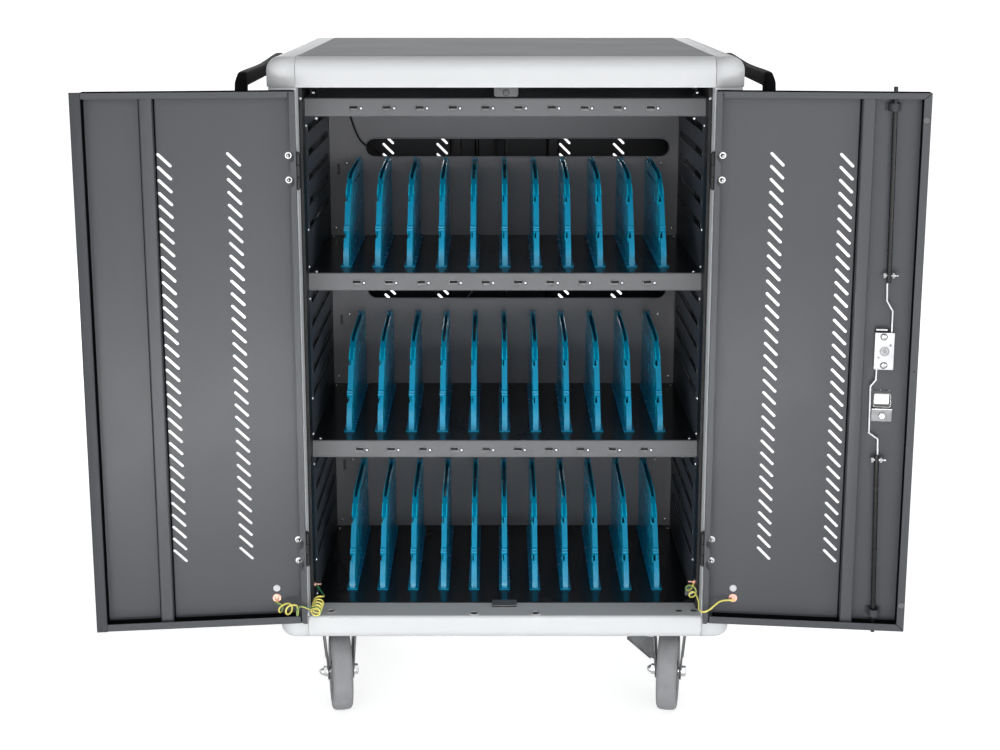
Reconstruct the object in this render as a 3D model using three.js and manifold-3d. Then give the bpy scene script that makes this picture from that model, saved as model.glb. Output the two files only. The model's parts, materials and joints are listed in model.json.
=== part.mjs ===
// Laptop charging cart: three bays of upright slots behind two front doors and two rear doors.
// Millimetres, +Z up, front towards -Y. Pieces are drawn with the front face of the caps at y = 0 and
// the middle of the cabinet at x = 0, on the right-hand side where there is a pair.
import * as THREE from "three";
import { mergeVertices } from "three/addons/utils/BufferGeometryUtils.js";
import Module from "manifold-3d";

const wasm = await Module();
wasm.setup();

// Overall size, and where the middle of the front face goes in the part's frame
const HALF_WIDTH = 335;
const DEPTH = 560;
const HEIGHT = 1012;
const FRONT_CENTRE = [5.69, -259.19, 0];
const GAP = 0.3;
const SHEET = 1.5;

// Levels above the ground
const BASE_Z = 149.5;
const SILL_Z = 186;
const FLOOR_Z = 187.5;
const FLOOR_T = 2;
const RAIL_Z = 970;
const SHELF_Z = [950.8, 696.3, 441.8];
const LINER_TOP = 948;
const LIP_HEIGHT = 26.5;

// Plan positions
const SEAM_X = 292;
const RAIL_DEPTH = 50;
const REAR_RAIL_DEPTH = 12;
const RAIL_RETURN = 24;
const CAP_EDGE = 20;
const CAP_CORNER = 24;
const CAP_WALL = 2.5;
const BASE_EDGE = 15;
const SILL_EDGE = 5;
const BAY_X = 286.2;
const LIP_Y = 54;
const BACK_Y = 373;
const TRAY_TAB = [-16, 18.5];
const FLOOR_TAB = [-19, 18];

// Corner posts and side walls
const POST_X = [291.5, 333];
const POST_Y = [1.5, 60];
const POST_STOP = [286.5, 25];
const POST_CORNER = 22;
const POST_WALL = 2;
const LINER_SLOT_Y = [78, 345];
const LINER_SLOT_H = 11;
const LINER_SLOTS = [59, 94.5, 130, 166, 202];
const CABLE_HOLE_X = [-212.5, 256.5];
const CABLE_HOLE_R = 15.5;
const CABLE_HOLE_Z = [842, 604, 366];
const GRIP_X = [371.5, 385];
const GRIP_Y = [70, 490];
const GRIP_LEG = 22;

// Doors
const HINGE_X = 291;
const HINGE_OUT = 3.5;
const HINGE_Z = [854, 294];
const KNUCKLE_R = 4;
const KNUCKLE_H = 16.4;
const LEAF_H = 50;
const DOOR_OPEN = 174;
const DOOR_X = [0.8, 289.6];
const DOOR_Y = [0.5, 22.5];
const DOOR_Z = [189, 967];
const DOOR_SKIN = 1.2;
const DOOR_LIP = 12;
const STRIP_Y = 24;
const STRIP_OVER = 13;
const VENT_S = [88, 183];
const VENT_COUNT = 33;
const VENT_TOP = 872;
const VENT_PITCH = 18.1;
const VENT_LONG = 27;
const VENT_WIDE = 4;
const STIFFENER_S = 204;

// Locks, placed by the distance s from the hinge axis
const LOCK_S = 246.5;
const SPINDLE_Z = 603;
const SPINDLE_R = 6;
const LOCK_SCREW_Z = [624, 581.5, 508];
const DISH_Z = [494, 634];
const DISH_OUT = 12;
const FINGER_Z = [520, 540];
const LEVER_Z = [545, 612];
const ROD_S = 245;
const ROD_R = 4;
const ROD_Y = 13;
const ROD_TIP = 6;
const UPPER_ROD = [706, 972];
const LOWER_ROD = [181, 446];
const UPPER_LINK = [[256.5, 606], [256, 661], [246, 672], [ROD_S, 716]];
const LOWER_LINK = [[236, 600], [236, 563], [228, 552], [228, 484], [242, 474], [ROD_S, 436]];
const LINK_Y = [9.5, 11.8];
const LINK_HALF = 2;

// Slots and charging ports
const SLOT_PITCH = 47.1;
const DIVIDERS = 11;
const DIVIDER_T = 8;
const FOOT_W = 16.4;
const FOOT_T = 2;
const DIVIDER_SIDE = [[96, 0], [98, 22], [153, 106], [189, 126], [340, 131], [362, 126], [362, 0]];
const KEY_Y = [220, 240];
const PORTS = 10;
const PORT_X0 = -216.4;
const PORT_W = 13.2;
const PORT_H = 8;
const PORT_DROP = 14.4;

// Casters
const WHEEL_R = 60;
const WHEEL_W = 31;
const WHEEL_SIDES = 24;
const TRAIL = 21;
const SWIVEL_X = 258.5;
const SWIVEL_Y = [105, 455];
const TOE = 10;
const PLATE_Z = 149;
const RACE_Z = 138;
const CROWN_Z = 128;
const AXLE_R = 5;
const FORK_X = WHEEL_W / 2 + 1.5;
const FORK_T = 3;

// Cords
const LEAD_R = 1.6;
const EARTH_R = 1.3;
const LOOP_STEPS = 8;

const LIGHT_PAINT = { color: 0xd9dadb, roughness: 0.4, metalness: 0 };
const GREY_PAINT = { color: 0x77797c, roughness: 0.5, metalness: 0 };
const DARK_PAINT = { color: 0x4c4d50, roughness: 0.5, metalness: 0 };
const BLACK_GLOSS = { color: 0x0d0e10, roughness: 0.15, metalness: 0 };
const BLUE_PLASTIC = { color: 0x0082ab, roughness: 0.25, metalness: 0 };
const BLACK_PLASTIC = { color: 0x1c1c1e, roughness: 0.6, metalness: 0 };
const GREY_RUBBER = { color: 0x8f9193, roughness: 0.8, metalness: 0 };
const ZINC = { color: 0xc8cacc, roughness: 0.3, metalness: 1 };
const EARTH_SLEEVE = { color: 0x9aa82a, roughness: 0.5, metalness: 0 };

// Solids

function solid(geometry) {
  const bare = new THREE.BufferGeometry();
  bare.setAttribute("position", geometry.getAttribute("position"));
  bare.setIndex(geometry.index);
  const welded = mergeVertices(bare, 1e-4);
  return new wasm.Manifold(
    new wasm.Mesh({
      numProp: 3,
      vertProperties: new Float32Array(welded.getAttribute("position").array),
      triVerts: new Uint32Array(welded.index.array),
    }),
  );
}

function join(...pieces) {
  return pieces.flat().reduce((a, b) => a.add(b));
}

function cut(body, ...tools) {
  return body.subtract(join(...tools));
}

function box([x0, x1], [y0, y1], [z0, z1]) {
  const g = new THREE.BoxGeometry(x1 - x0, y1 - y0, z1 - z0);
  return solid(g.translate((x0 + x1) / 2, (y0 + y1) / 2, (z0 + z1) / 2));
}

function around(middle, size) {
  return [middle - size / 2, middle + size / 2];
}

function grown([low, high], by) {
  return [low - by, high + by];
}

// A closed outline in the other two axes (x: y,z; y: x,z; z: x,y), pushed along the axis from a to b.
function prism(outline, axis, [a, b]) {
  const shape = new THREE.Shape(outline.map(([u, v]) => new THREE.Vector2(u, v)));
  const g = new THREE.ExtrudeGeometry(shape, { depth: b - a, bevelEnabled: false });
  const m = new THREE.Matrix4();
  if (axis === "x") m.set(0, 0, 1, a, 1, 0, 0, 0, 0, 1, 0, 0, 0, 0, 0, 1);
  if (axis === "y") m.set(1, 0, 0, 0, 0, 0, -1, b, 0, 1, 0, 0, 0, 0, 0, 1);
  if (axis === "z") m.set(1, 0, 0, 0, 0, 1, 0, 0, 0, 0, 1, a, 0, 0, 0, 1);
  return solid(g.applyMatrix4(m));
}

function arc(cu, cv, r, from, to, steps) {
  return Array.from({ length: steps + 1 }, (_, i) => {
    const t = THREE.MathUtils.degToRad(from + ((to - from) * i) / steps);
    return [cu + r * Math.cos(t), cv + r * Math.sin(t)];
  });
}

function circle(u, v, r, sides) {
  return arc(u, v, r, 0, 360 - 360 / sides, sides - 1);
}

function bar(axis, u, v, r, span, sides) {
  return prism(circle(u, v, r, sides), axis, span);
}

function smoothPath(points) {
  return new THREE.CatmullRomCurve3(points.map((p) => new THREE.Vector3(...p)), false, "centripetal");
}

// A round tube along a smooth curve.
function tube(path, r, steps, sides) {
  const ring = new THREE.Shape(circle(0, 0, r, sides).map((p) => new THREE.Vector2(...p)));
  return solid(new THREE.ExtrudeGeometry(ring, { steps, extrudePath: path, bevelEnabled: false }));
}

// Scene graph

const cart = new THREE.Group();
cart.position.set(...FRONT_CENTRE);

function group(parent, { x = 0, y = 0, turn = 0, mirrorX = false, mirrorY = false } = {}) {
  const g = new THREE.Group();
  g.position.set(x, y, 0);
  g.rotation.z = THREE.MathUtils.degToRad(turn);
  g.scale.set(mirrorX ? -1 : 1, mirrorY ? -1 : 1, 1);
  parent.add(g);
  return g;
}

const leftSide = group(cart, { mirrorX: true });
const rearSide = group(cart, { y: DEPTH, mirrorY: true });
const rearLeft = group(rearSide, { mirrorX: true });

function place(parent, name, body, look) {
  const { vertProperties, triVerts } = body.getMesh();
  const g = new THREE.BufferGeometry();
  g.setAttribute("position", new THREE.BufferAttribute(new Float32Array(vertProperties), 3));
  g.setIndex(new THREE.BufferAttribute(new Uint32Array(triVerts), 1));
  g.computeVertexNormals();
  const mesh = new THREE.Mesh(g, new THREE.MeshStandardMaterial(look));
  mesh.name = name;
  parent.add(mesh);
}

function placePair(name, body, look, right = cart, left = leftSide) {
  place(right, name + "_right", body, look);
  place(left, name + "_left", body, look);
}

// Caps and rails

// A block rounded in plan at its outer corners and along its outer top (or, upside down, bottom) edges.
function roundedBlock([x0, x1], [y0, y1], [z0, z1], corner, front, rear, upright) {
  const plan = [
    [x0, y0],
    ...arc(x1 - corner, y0 + corner, corner, 270, 360, 4),
    ...arc(x1 - corner, y1 - corner, corner, 0, 90, 4),
    [x0, y1],
  ];
  const flip = (outline) => (upright ? outline : outline.map(([u, v]) => [u, z0 + z1 - v]));
  const across = flip([[x0, z0], [x1, z0], ...arc(x1 - front, z1 - front, front, 0, 90, 4), [x0, z1]]);
  const along = flip([
    [y0, z0],
    [y1, z0],
    ...arc(y1 - rear, z1 - rear, rear, 0, 90, 3),
    ...arc(y0 + front, z1 - front, front, 90, 180, 4),
  ]);
  const block = prism(plan, "z", [z0, z1]);
  return block.intersect(prism(across, "y", [y0, y1])).intersect(prism(along, "x", [x0, x1]));
}

function endCap([z0, z1], front, rear, upright) {
  const t = CAP_WALL;
  const x0 = SEAM_X + GAP;
  const outer = roundedBlock([x0, HALF_WIDTH], [0, DEPTH], [z0, z1], CAP_CORNER, front, rear, upright);
  const hollow = upright ? [z0 - 1, z1 - t] : [z0 + t, z1 + 1];
  const rounds = [CAP_CORNER - t, front - t, rear - t];
  return cut(outer, roundedBlock([x0 + t, HALF_WIDTH - t], [t, DEPTH - t], hollow, ...rounds, upright));
}

function rodHoles(z) {
  const x = HINGE_X - ROD_S;
  return [-x, x].map((hole) => bar("z", hole, ROD_Y, ROD_R + 2.2, around(z, 8), 8));
}

function topRail(depth, edge) {
  const z = HEIGHT - edge;
  const outline = [
    [depth, HEIGHT],
    ...arc(edge, z, edge, 90, 180, 5),
    [0, RAIL_Z],
    [RAIL_RETURN, RAIL_Z],
    [RAIL_RETURN, RAIL_Z + SHEET],
    [SHEET, RAIL_Z + SHEET],
    ...arc(edge, z, edge - SHEET, 180, 90, 5),
    [depth, HEIGHT - SHEET],
  ];
  return cut(prism(outline, "x", around(0, 2 * (SEAM_X - GAP))), rodHoles(RAIL_Z));
}

function baseRail() {
  const low = BASE_Z + BASE_EDGE;
  const high = SILL_Z - SILL_EDGE;
  const outline = [
    [RAIL_DEPTH, SILL_Z],
    ...arc(SILL_EDGE, high, SILL_EDGE, 90, 180, 3),
    ...arc(BASE_EDGE, low, BASE_EDGE, 180, 270, 5),
    [RAIL_RETURN, BASE_Z],
    [RAIL_RETURN, BASE_Z + SHEET],
    ...arc(BASE_EDGE, low, BASE_EDGE - SHEET, 270, 180, 5),
    ...arc(SILL_EDGE, high, SILL_EDGE - SHEET, 180, 90, 3),
    [RAIL_DEPTH, SILL_Z - SHEET],
  ];
  return cut(prism(outline, "x", around(0, 2 * (SEAM_X - GAP))), rodHoles(SILL_Z));
}

function topPanel() {
  const y = [RAIL_DEPTH + GAP, DEPTH - REAR_RAIL_DEPTH - GAP];
  return box(around(0, 2 * (SEAM_X - GAP)), y, [HEIGHT - CAP_WALL, HEIGHT]);
}

function floorPanel() {
  const y = [RAIL_DEPTH + GAP, DEPTH - RAIL_DEPTH - GAP];
  const sheet = box([-BAY_X, BAY_X], y, [FLOOR_Z - FLOOR_T, FLOOR_Z]);
  const tab = box(FLOOR_TAB, [34, RAIL_DEPTH + 1], [SILL_Z + GAP, FLOOR_Z]);
  return cut(join(sheet, tab), keySlots(FLOOR_Z));
}

// Posts and walls

function postOutline(inset) {
  const r = POST_CORNER - inset;
  const x0 = POST_X[0] + inset;
  const x1 = POST_X[1] - inset;
  const y0 = POST_Y[0] + inset;
  const y1 = POST_Y[1] - inset;
  const [stopX, stopY] = POST_STOP.map((v) => v + inset);
  return [[x0, y0], ...arc(x1 - r, y0 + r, r, 270, 360, 4), [x1, y1], [stopX, y1], [stopX, stopY], [x0, stopY]];
}

function knuckle(span) {
  return bar("z", HINGE_X, -HINGE_OUT, KNUCKLE_R, span, 8);
}

// A hollow post with the fixed knuckles and leaf of its two hinges.
function cornerPost() {
  const z = [SILL_Z + GAP, RAIL_Z - GAP];
  const column = cut(prism(postOutline(0), "z", z), prism(postOutline(POST_WALL), "z", grown(z, 1)));
  const knuckles = HINGE_Z.flatMap((middle) =>
    [-1, 1].flatMap((end) => {
      const span = around(middle + end * (KNUCKLE_H + 0.4), KNUCKLE_H);
      return [knuckle(span), box([HINGE_X + 0.6, HINGE_X + 5], [-2.2, 0.1], span)];
    }),
  );
  const leafX = [HINGE_X + 4.6, HINGE_X + 20];
  const leaves = HINGE_Z.map((middle) => box(leafX, [-0.5, POST_Y[0] + 0.3], around(middle, LEAF_H)));
  return join(column, leaves, knuckles);
}

function sidePanel() {
  return box([331, POST_X[1]], [POST_Y[1] + GAP, DEPTH - POST_Y[1] - GAP], [SILL_Z + GAP, RAIL_Z - GAP]);
}

function sideLiner() {
  const x = [POST_STOP[0], POST_STOP[0] + SHEET];
  const wall = box(x, [POST_Y[1] + GAP, BACK_Y - GAP], [FLOOR_Z + GAP, LINER_TOP]);
  const floors = [SHELF_Z[1], SHELF_Z[2], FLOOR_Z];
  const slots = floors.flatMap((z) =>
    LINER_SLOTS.map((h) => box(grown(x, 2), LINER_SLOT_Y, [z + h, z + h + LINER_SLOT_H])),
  );
  return cut(wall, slots);
}

function backPanel() {
  const [left, right] = CABLE_HOLE_X;
  const holes = CABLE_HOLE_Z.map((z) => {
    const r = CABLE_HOLE_R;
    return prism([...arc(right, z, r, -90, 90, 5), ...arc(left, z, r, 90, 270, 5)], "y", around(BACK_Y, 10));
  });
  return cut(box([-BAY_X, BAY_X], [BACK_Y, BACK_Y + SHEET], [FLOOR_Z + GAP, LINER_TOP]), holes);
}

// A grip bar running front to back, rising to the rear, its ends turned down and then in to the side panel.
function sideHandle() {
  const foot = [892, 914];
  const [front, rear] = GRIP_Y;
  const outline = [
    [front, foot[0]],
    ...arc(front + 24, 962, 24, 180, 90, 5),
    ...arc(rear - 24, 967, 24, 90, 0, 5),
    [rear, foot[0]],
    [rear - GRIP_LEG, foot[0]],
    ...arc(rear - GRIP_LEG - 4, 962, 4, 0, 90, 2),
    ...arc(front + GRIP_LEG + 4, 961, 4, 90, 180, 2),
    [front + GRIP_LEG, foot[0]],
  ];
  const legs = [[front, front + GRIP_LEG], [rear - GRIP_LEG, rear]];
  const feet = legs.map((y) => box([POST_X[1] + GAP, GRIP_X[0] + 5], y, foot));
  return join(prism(outline, "x", GRIP_X), feet);
}

// Bays

function portX(i) {
  return PORT_X0 + SLOT_PITCH * i;
}

function dividerX(i) {
  return (i - (DIVIDERS - 1) / 2) * SLOT_PITCH;
}

function each(count, make) {
  return Array.from({ length: count }, (_, i) => make(i));
}

function keySlots(z) {
  return each(DIVIDERS, (i) => box(around(dividerX(i), 6), grown(KEY_Y, 1), around(z, 8)));
}

// A flat sheet with a folded front lip that carries the port openings.
function shelf(z) {
  const low = z - LIP_HEIGHT;
  const outline = [
    [LIP_Y, z],
    [LIP_Y, low],
    [LIP_Y + 14, low],
    [LIP_Y + 14, low + SHEET],
    [LIP_Y + SHEET, low + SHEET],
    [LIP_Y + SHEET, z - SHEET],
    [BACK_Y - GAP, z - SHEET],
    [BACK_Y - GAP, z],
  ];
  const port = (i) => box(around(portX(i), PORT_W), around(LIP_Y, 8), around(z - PORT_DROP, PORT_H));
  return cut(prism(outline, "x", [-BAY_X, BAY_X]), each(PORTS, port));
}

function topTray() {
  const tab = box(TRAY_TAB, [LIP_Y, LIP_Y + SHEET], [SHELF_Z[0] - 1, RAIL_Z - GAP]);
  return join(shelf(SHELF_Z[0]), tab);
}

function slottedShelf(z) {
  return cut(shelf(z), keySlots(z));
}

// Dividers with T-shaped feet, each keyed through its sheet to one rail underneath.
function divider(x, z) {
  const [stem, foot] = [DIVIDER_T / 2, FOOT_W / 2];
  const section = [
    [x - foot, z],
    [x + foot, z],
    [x + foot, z + FOOT_T],
    [x + stem, z + FOOT_T],
    [x + stem, z + 140],
    [x - stem, z + 140],
    [x - stem, z + FOOT_T],
    [x - foot, z + FOOT_T],
  ];
  const side = DIVIDER_SIDE.map(([y, h]) => [y, z + h]);
  return prism(section, "y", [90, 370]).intersect(prism(side, "x", around(x, FOOT_W + 2)));
}

function dividerRack(z) {
  const under = z - FLOOR_T - GAP;
  const rail = box([-246, 246], grown(KEY_Y, 5), [under - 2, under]);
  const dividers = each(DIVIDERS, (i) => divider(dividerX(i), z + GAP));
  const keys = each(DIVIDERS, (i) => box(around(dividerX(i), 5.2), KEY_Y, [under - 1, z + GAP + 1]));
  return join(rail, dividers, keys);
}

function portHub(z) {
  const strip = box([-236, 236], [LIP_Y + 6, LIP_Y + 38], [z - 22, z - 4]);
  const port = (i) =>
    box(around(portX(i), PORT_W - 0.8), [LIP_Y - 1.5, LIP_Y + 7], around(z - PORT_DROP, PORT_H - 0.8));
  return join(strip, each(PORTS, port));
}

function powerUnit() {
  const front = BACK_Y + SHEET + GAP;
  const body = box([-170, 170], [front, front + 60], [650, 760]);
  const inlet = box([-205, -169], [front + 10, front + 42], [672, 706]);
  const outlets = [-120, -40, 40, 120].map((x) => box(around(x, 36), [front + 59, front + 64], [690, 722]));
  return join(body, inlet, outlets);
}

// Cords

function powerLead() {
  const z = SHELF_Z[0];
  const path = [
    [-224, LIP_Y + 39.5, z - 12],
    [-226, LIP_Y + 60, z - 11],
    [-262, 240, z - 6],
    [-266, 345, z - 9],
    [-258, 364, z - 30],
    [-250, 366, 891],
    [-236, 366, 856],
    [-222, 373, 842],
    [-206, 392, 828],
    [-196, 406, 780],
    [-192, 405, 740],
    [-188, 401, 706.6],
  ];
  return tube(smoothPath(path), LEAD_R, 28, 8);
}

// Loops of a wire, each from its top round by the right, while their centre runs from one point to another.
function loops(turns, from, to, [rx, ry, rz]) {
  const count = turns * LOOP_STEPS;
  return each(count + 1, (i) => {
    const t = (i / LOOP_STEPS) * 2 * Math.PI;
    const [x, y, z] = from.map((v, k) => v + ((to[k] - v) * i) / count);
    return [x + rx * Math.sin(t), y + ry * Math.sin(t), z + rz * Math.cos(t)];
  });
}

// From the skin of the open left door over its lip in three curls, through a loose coil, to the post.
function earthLeft() {
  const path = smoothPath([
    [-338.5, -15.6, 216.5],
    ...loops(1, [-332, -22, 209.6], [-326.5, -27, 209.6], [3.6, 4.6, 5.8]),
    ...loops(1, [-319.5, -28.5, 211.6], [-313, -34.5, 211.6], [5.6, 5.4, 7.8]),
    ...loops(1, [-305.5, -39, 213.4], [-299.5, -42.5, 213.4], [1.2, 6.2, 7.6]),
    [-294, -36.4, 217.5],
    [-287, -31, 212],
    ...loops(4, [-280, -15.5, 199.6], [-276.5, 5.5, 208], [7.8, 0, 7.8]),
    [-270, 13.5, 212],
    [-274, 27, 211.5],
    [-284.6, 40, 220],
  ]);
  console.log("least gap between turns of the earth wire:", leastGap(path).toFixed(2), "mm");
  return tube(path, EARTH_R, 92, 5);
}

// The least clear distance between stretches of a wire that are over 10 mm apart along it.
function leastGap(path) {
  const points = path.getSpacedPoints(400);
  const apart = Math.ceil((10 * 400) / path.getLength());
  const clear = points.flatMap((p, i) => points.slice(i + apart).map((q) => p.distanceTo(q) - 2 * EARTH_R));
  return clear.reduce((least, gap) => Math.min(least, gap));
}

// From the skin of the open right door over its lip, round a loop and a half, to the post.
function earthRight() {
  const path = smoothPath([
    [337.5, -16.2, 219],
    [326, -21, 221],
    [314.5, -28, 222],
    [305.5, -35, 218.5],
    [297.5, -39.8, 214],
    [289, -39.5, 210.8],
    [283.8, -32, 211.5],
    [284.6, -22, 218],
    ...loops(1.5, [280, -6, 221], [277, 32, 220], [-6.3, 0, 6.3]),
    [283, 37, 217],
    [284.7, 41, 224],
  ]);
  return tube(path, EARTH_R, 30, 6);
}

// Casters, drawn with the swivel axis at the origin and the wheel trailing to the front

function basePan() {
  const plate = box([-286, 286], [30, 530], [PLATE_Z + 3, PLATE_Z + 6]);
  const feet = [-SWIVEL_X, SWIVEL_X].flatMap((x) =>
    SWIVEL_Y.flatMap((y) => [
      box(around(x, 64), around(y, 96), [PLATE_Z, PLATE_Z + 4]),
      bar("z", x, y, 33, [RACE_Z, PLATE_Z + 1], 12),
    ]),
  );
  return join(plate, feet);
}

function fork() {
  const leg = [
    [30, 134],
    [30, 119],
    ...arc(-TRAIL, WHEEL_R, 14, -40, -180, 4),
    [-TRAIL - 8, 134],
  ];
  const out = FORK_X + FORK_T;
  return join(
    bar("z", 0, 0, 34, [CROWN_Z, RACE_Z - GAP], 12),
    prism(leg, "x", [FORK_X, out]),
    prism(leg, "x", [-out, -FORK_X]),
    bar("x", -TRAIL, WHEEL_R, AXLE_R, [-out - 1, out + 1], 8),
    bar("x", -TRAIL, WHEEL_R, 9, [out - 1, out + 6], 6),
    bar("x", -TRAIL, WHEEL_R, 9, [-out - 6, 1 - out], 8),
  );
}

function wheel() {
  const half = Math.PI / WHEEL_SIDES;
  const r = WHEEL_R / Math.cos(half);
  const w = WHEEL_W / 2;
  const bore = AXLE_R + 0.5;
  const profile = [[bore, -w], [r - 4, -w], [r, 5 - w], [r, w - 5], [r - 4, w], [bore, w], [bore, -w]];
  const ring = new THREE.LatheGeometry(profile.map((p) => new THREE.Vector2(...p)), WHEEL_SIDES);
  return solid(ring.rotateY(half).rotateZ(Math.PI / 2).translate(0, -TRAIL, WHEEL_R));
}

function brakePedal() {
  const x = -FORK_X - FORK_T - 1;
  const face = [[x, 110], [x, 74], [x - 6, 76], [x - 40, 106], [x - 40, 110]];
  const flange = [[x - 6, 76], [x - 40, 106], [x - 41.5, 104], [x - 6, 73]];
  return join(prism(face, "y", [-17, -14]), prism(flange, "y", [-17, -2]));
}

// Doors, drawn shut on the right of the front

function sx(s) {
  return HINGE_X - s;
}

function vents(slant) {
  const d = VENT_LONG / 2 / Math.SQRT2;
  const w = VENT_WIDE / 2 / Math.SQRT2;
  const quad = [[w - d, -d - w], [d + w, d - w], [d - w, d + w], [-d - w, w - d]];
  return VENT_S.flatMap((s) =>
    each(VENT_COUNT, (i) => {
      const z = VENT_TOP - VENT_PITCH * i;
      return prism(quad.map(([u, v]) => [sx(s) + slant * u, z + v]), "y", around(DOOR_Y[0], 4));
    }),
  );
}

// A folded pan with returned lips and the moving knuckles of its hinges.
function pan(slant) {
  const shell = box(DOOR_X, DOOR_Y, DOOR_Z);
  const hollow = box(grown(DOOR_X, -DOOR_SKIN), grown(DOOR_Y, -DOOR_SKIN), grown(DOOR_Z, -DOOR_SKIN));
  const mouth = box(grown(DOOR_X, -DOOR_LIP), around(DOOR_Y[1], 5), grown(DOOR_Z, -DOOR_LIP));
  const knuckles = HINGE_Z.flatMap((z) => {
    const span = around(z, KNUCKLE_H);
    return [knuckle(span), box([HINGE_X - 6, HINGE_X - 0.6], [-2.2, 0.9], span)];
  });
  return join(cut(shell, hollow, mouth, vents(slant)), knuckles);
}

function lockHoles() {
  const x = sx(LOCK_S);
  const skin = around(DOOR_Y[0], 4);
  return [
    bar("y", x, SPINDLE_Z, SPINDLE_R + 1, skin, 10),
    ...LOCK_SCREW_Z.map((z) => bar("y", x, z, 3, skin, 6)),
    box(around(x, 25), skin, FINGER_Z),
    ...DOOR_Z.map((z) => bar("z", sx(ROD_S), ROD_Y, ROD_R + 0.6, around(z, 5), 10)),
  ];
}

// The strip on the free edge that covers the joint between the two leaves.
function coverStrip() {
  return join(
    box([DOOR_X[0], DOOR_LIP], [DOOR_Y[1] - 0.1, STRIP_Y], DOOR_Z),
    box([-STRIP_OVER, DOOR_X[0] + 0.1], [DOOR_Y[1] + 0.4, STRIP_Y], DOOR_Z),
  );
}

function stiffener() {
  const x = around(sx(STIFFENER_S), 18);
  const z = grown(DOOR_Z, -2);
  const groove = box(grown(x, -SHEET), [2 + SHEET, 16], grown(z, 1));
  return cut(box(x, [2, 15], z), groove);
}

function rearBrace() {
  return box(around(sx(STIFFENER_S), 16), [DOOR_Y[0] + 1, 14], grown(DOOR_Z, -2));
}

// Locks

// Outer dish with a finger hole, joined through the skin to the inner cover and clamp.
function lockHousing() {
  const x = sx(LOCK_S);
  const bore = bar("y", x, SPINDLE_Z, SPINDLE_R + 0.4, [-14, 18], 10);
  const finger = box(around(x, 24), [-14, 2], grown(FINGER_Z, -0.5));
  const dish = cut(box(around(x, 31), [-DISH_OUT, 0.2], DISH_Z), bore, finger);
  const screws = LOCK_SCREW_Z.map((z) => bar("y", x, z, 2.5, [-1, 14.5], 6));
  const cover = cut(box(around(x, 27), [14, 15.5], [576, 630]), bore);
  const clamp = box(around(x, 29), [2, 5], [499, 517.5]);
  return join(dish, screws, cover, clamp);
}

function lockCam() {
  const x = sx(LOCK_S);
  const spindle = bar("y", x, SPINDLE_Z, SPINDLE_R, [-DISH_OUT - 0.6, 17], 10);
  return join(spindle, box(around(x, 24), [5, 8.6], around(SPINDLE_Z, 10)));
}

function lockLever() {
  const [tip, root] = LEVER_Z;
  const back = -DISH_OUT - 0.9;
  const side = [[back, root], [-21, root], [-21, tip + 15], [-18, tip], [back, tip]];
  return prism(side, "x", around(sx(LOCK_S), 18));
}

// A flat link bent through the given (s, z) points.
function link(points) {
  return points.slice(1).map(([s1, z1], i) => {
    const [s0, z0] = points[i];
    const long = Math.hypot(s1 - s0, z1 - z0);
    const u = ((s1 - s0) / long) * LINK_HALF;
    const v = ((z1 - z0) / long) * LINK_HALF;
    const start = [[s0 - u + v, z0 - v - u], [s0 - u - v, z0 - v + u]];
    const end = [[s1 + u - v, z1 + v + u], [s1 + u + v, z1 + v - u]];
    return prism([...start, ...end].map(([s, z]) => [sx(s), z]), "y", LINK_Y);
  });
}

function boltRod([z0, z1], tipEnd, points) {
  const round = bar("z", sx(ROD_S), ROD_Y, ROD_R, [z0, z1], 8);
  const radii = tipEnd > 0 ? [ROD_R / 2, ROD_R] : [ROD_R, ROD_R / 2];
  const tip = new THREE.CylinderGeometry(...radii, ROD_TIP, 8).rotateX(Math.PI / 2);
  const z = tipEnd > 0 ? z1 + ROD_TIP / 2 - 0.1 : z0 - ROD_TIP / 2 + 0.1;
  return join(round, solid(tip.translate(sx(ROD_S), ROD_Y, z)), link(points));
}

// Assembly

function buildCabinet() {
  place(cart, "top_panel", topPanel(), GREY_PAINT);
  placePair("top_end_cap", endCap([RAIL_Z, HEIGHT], CAP_EDGE, 10, true), LIGHT_PAINT);
  place(cart, "top_front_rail", topRail(RAIL_DEPTH, CAP_EDGE), LIGHT_PAINT);
  place(rearSide, "top_rear_rail", topRail(REAR_RAIL_DEPTH, 10), LIGHT_PAINT);
  placePair("base_end_cap", endCap([BASE_Z, SILL_Z], BASE_EDGE, BASE_EDGE, false), LIGHT_PAINT);
  place(cart, "base_front_rail", baseRail(), LIGHT_PAINT);
  place(rearSide, "base_rear_rail", baseRail(), LIGHT_PAINT);
  place(cart, "base_floor", floorPanel(), BLACK_GLOSS);
  placePair("front_post", cornerPost(), LIGHT_PAINT);
  placePair("rear_post", cornerPost(), LIGHT_PAINT, rearSide, rearLeft);
  placePair("side_panel", sidePanel(), GREY_PAINT);
  placePair("side_liner", sideLiner(), DARK_PAINT);
  place(cart, "inner_back_panel", backPanel(), DARK_PAINT);
  placePair("side_handle", sideHandle(), BLACK_PLASTIC);
}

function buildBays() {
  place(cart, "top_tray", topTray(), GREY_PAINT);
  place(cart, "shelf_upper", slottedShelf(SHELF_Z[1]), BLACK_GLOSS);
  place(cart, "shelf_middle", slottedShelf(SHELF_Z[2]), BLACK_GLOSS);
  const floors = { upper: SHELF_Z[1], middle: SHELF_Z[2], lower: FLOOR_Z };
  Object.entries(floors).forEach(([bay, z], i) => {
    place(cart, `divider_rack_${bay}`, dividerRack(z), BLUE_PLASTIC);
    place(cart, `port_hub_${bay}`, portHub(SHELF_Z[i]), BLACK_PLASTIC);
  });
  place(cart, "power_unit", powerUnit(), BLACK_PLASTIC);
  place(cart, "power_lead", powerLead(), BLACK_PLASTIC);
  place(cart, "earth_wire_left", earthLeft(), EARTH_SLEEVE);
  place(cart, "earth_wire_right", earthRight(), EARTH_SLEEVE);
}

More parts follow.
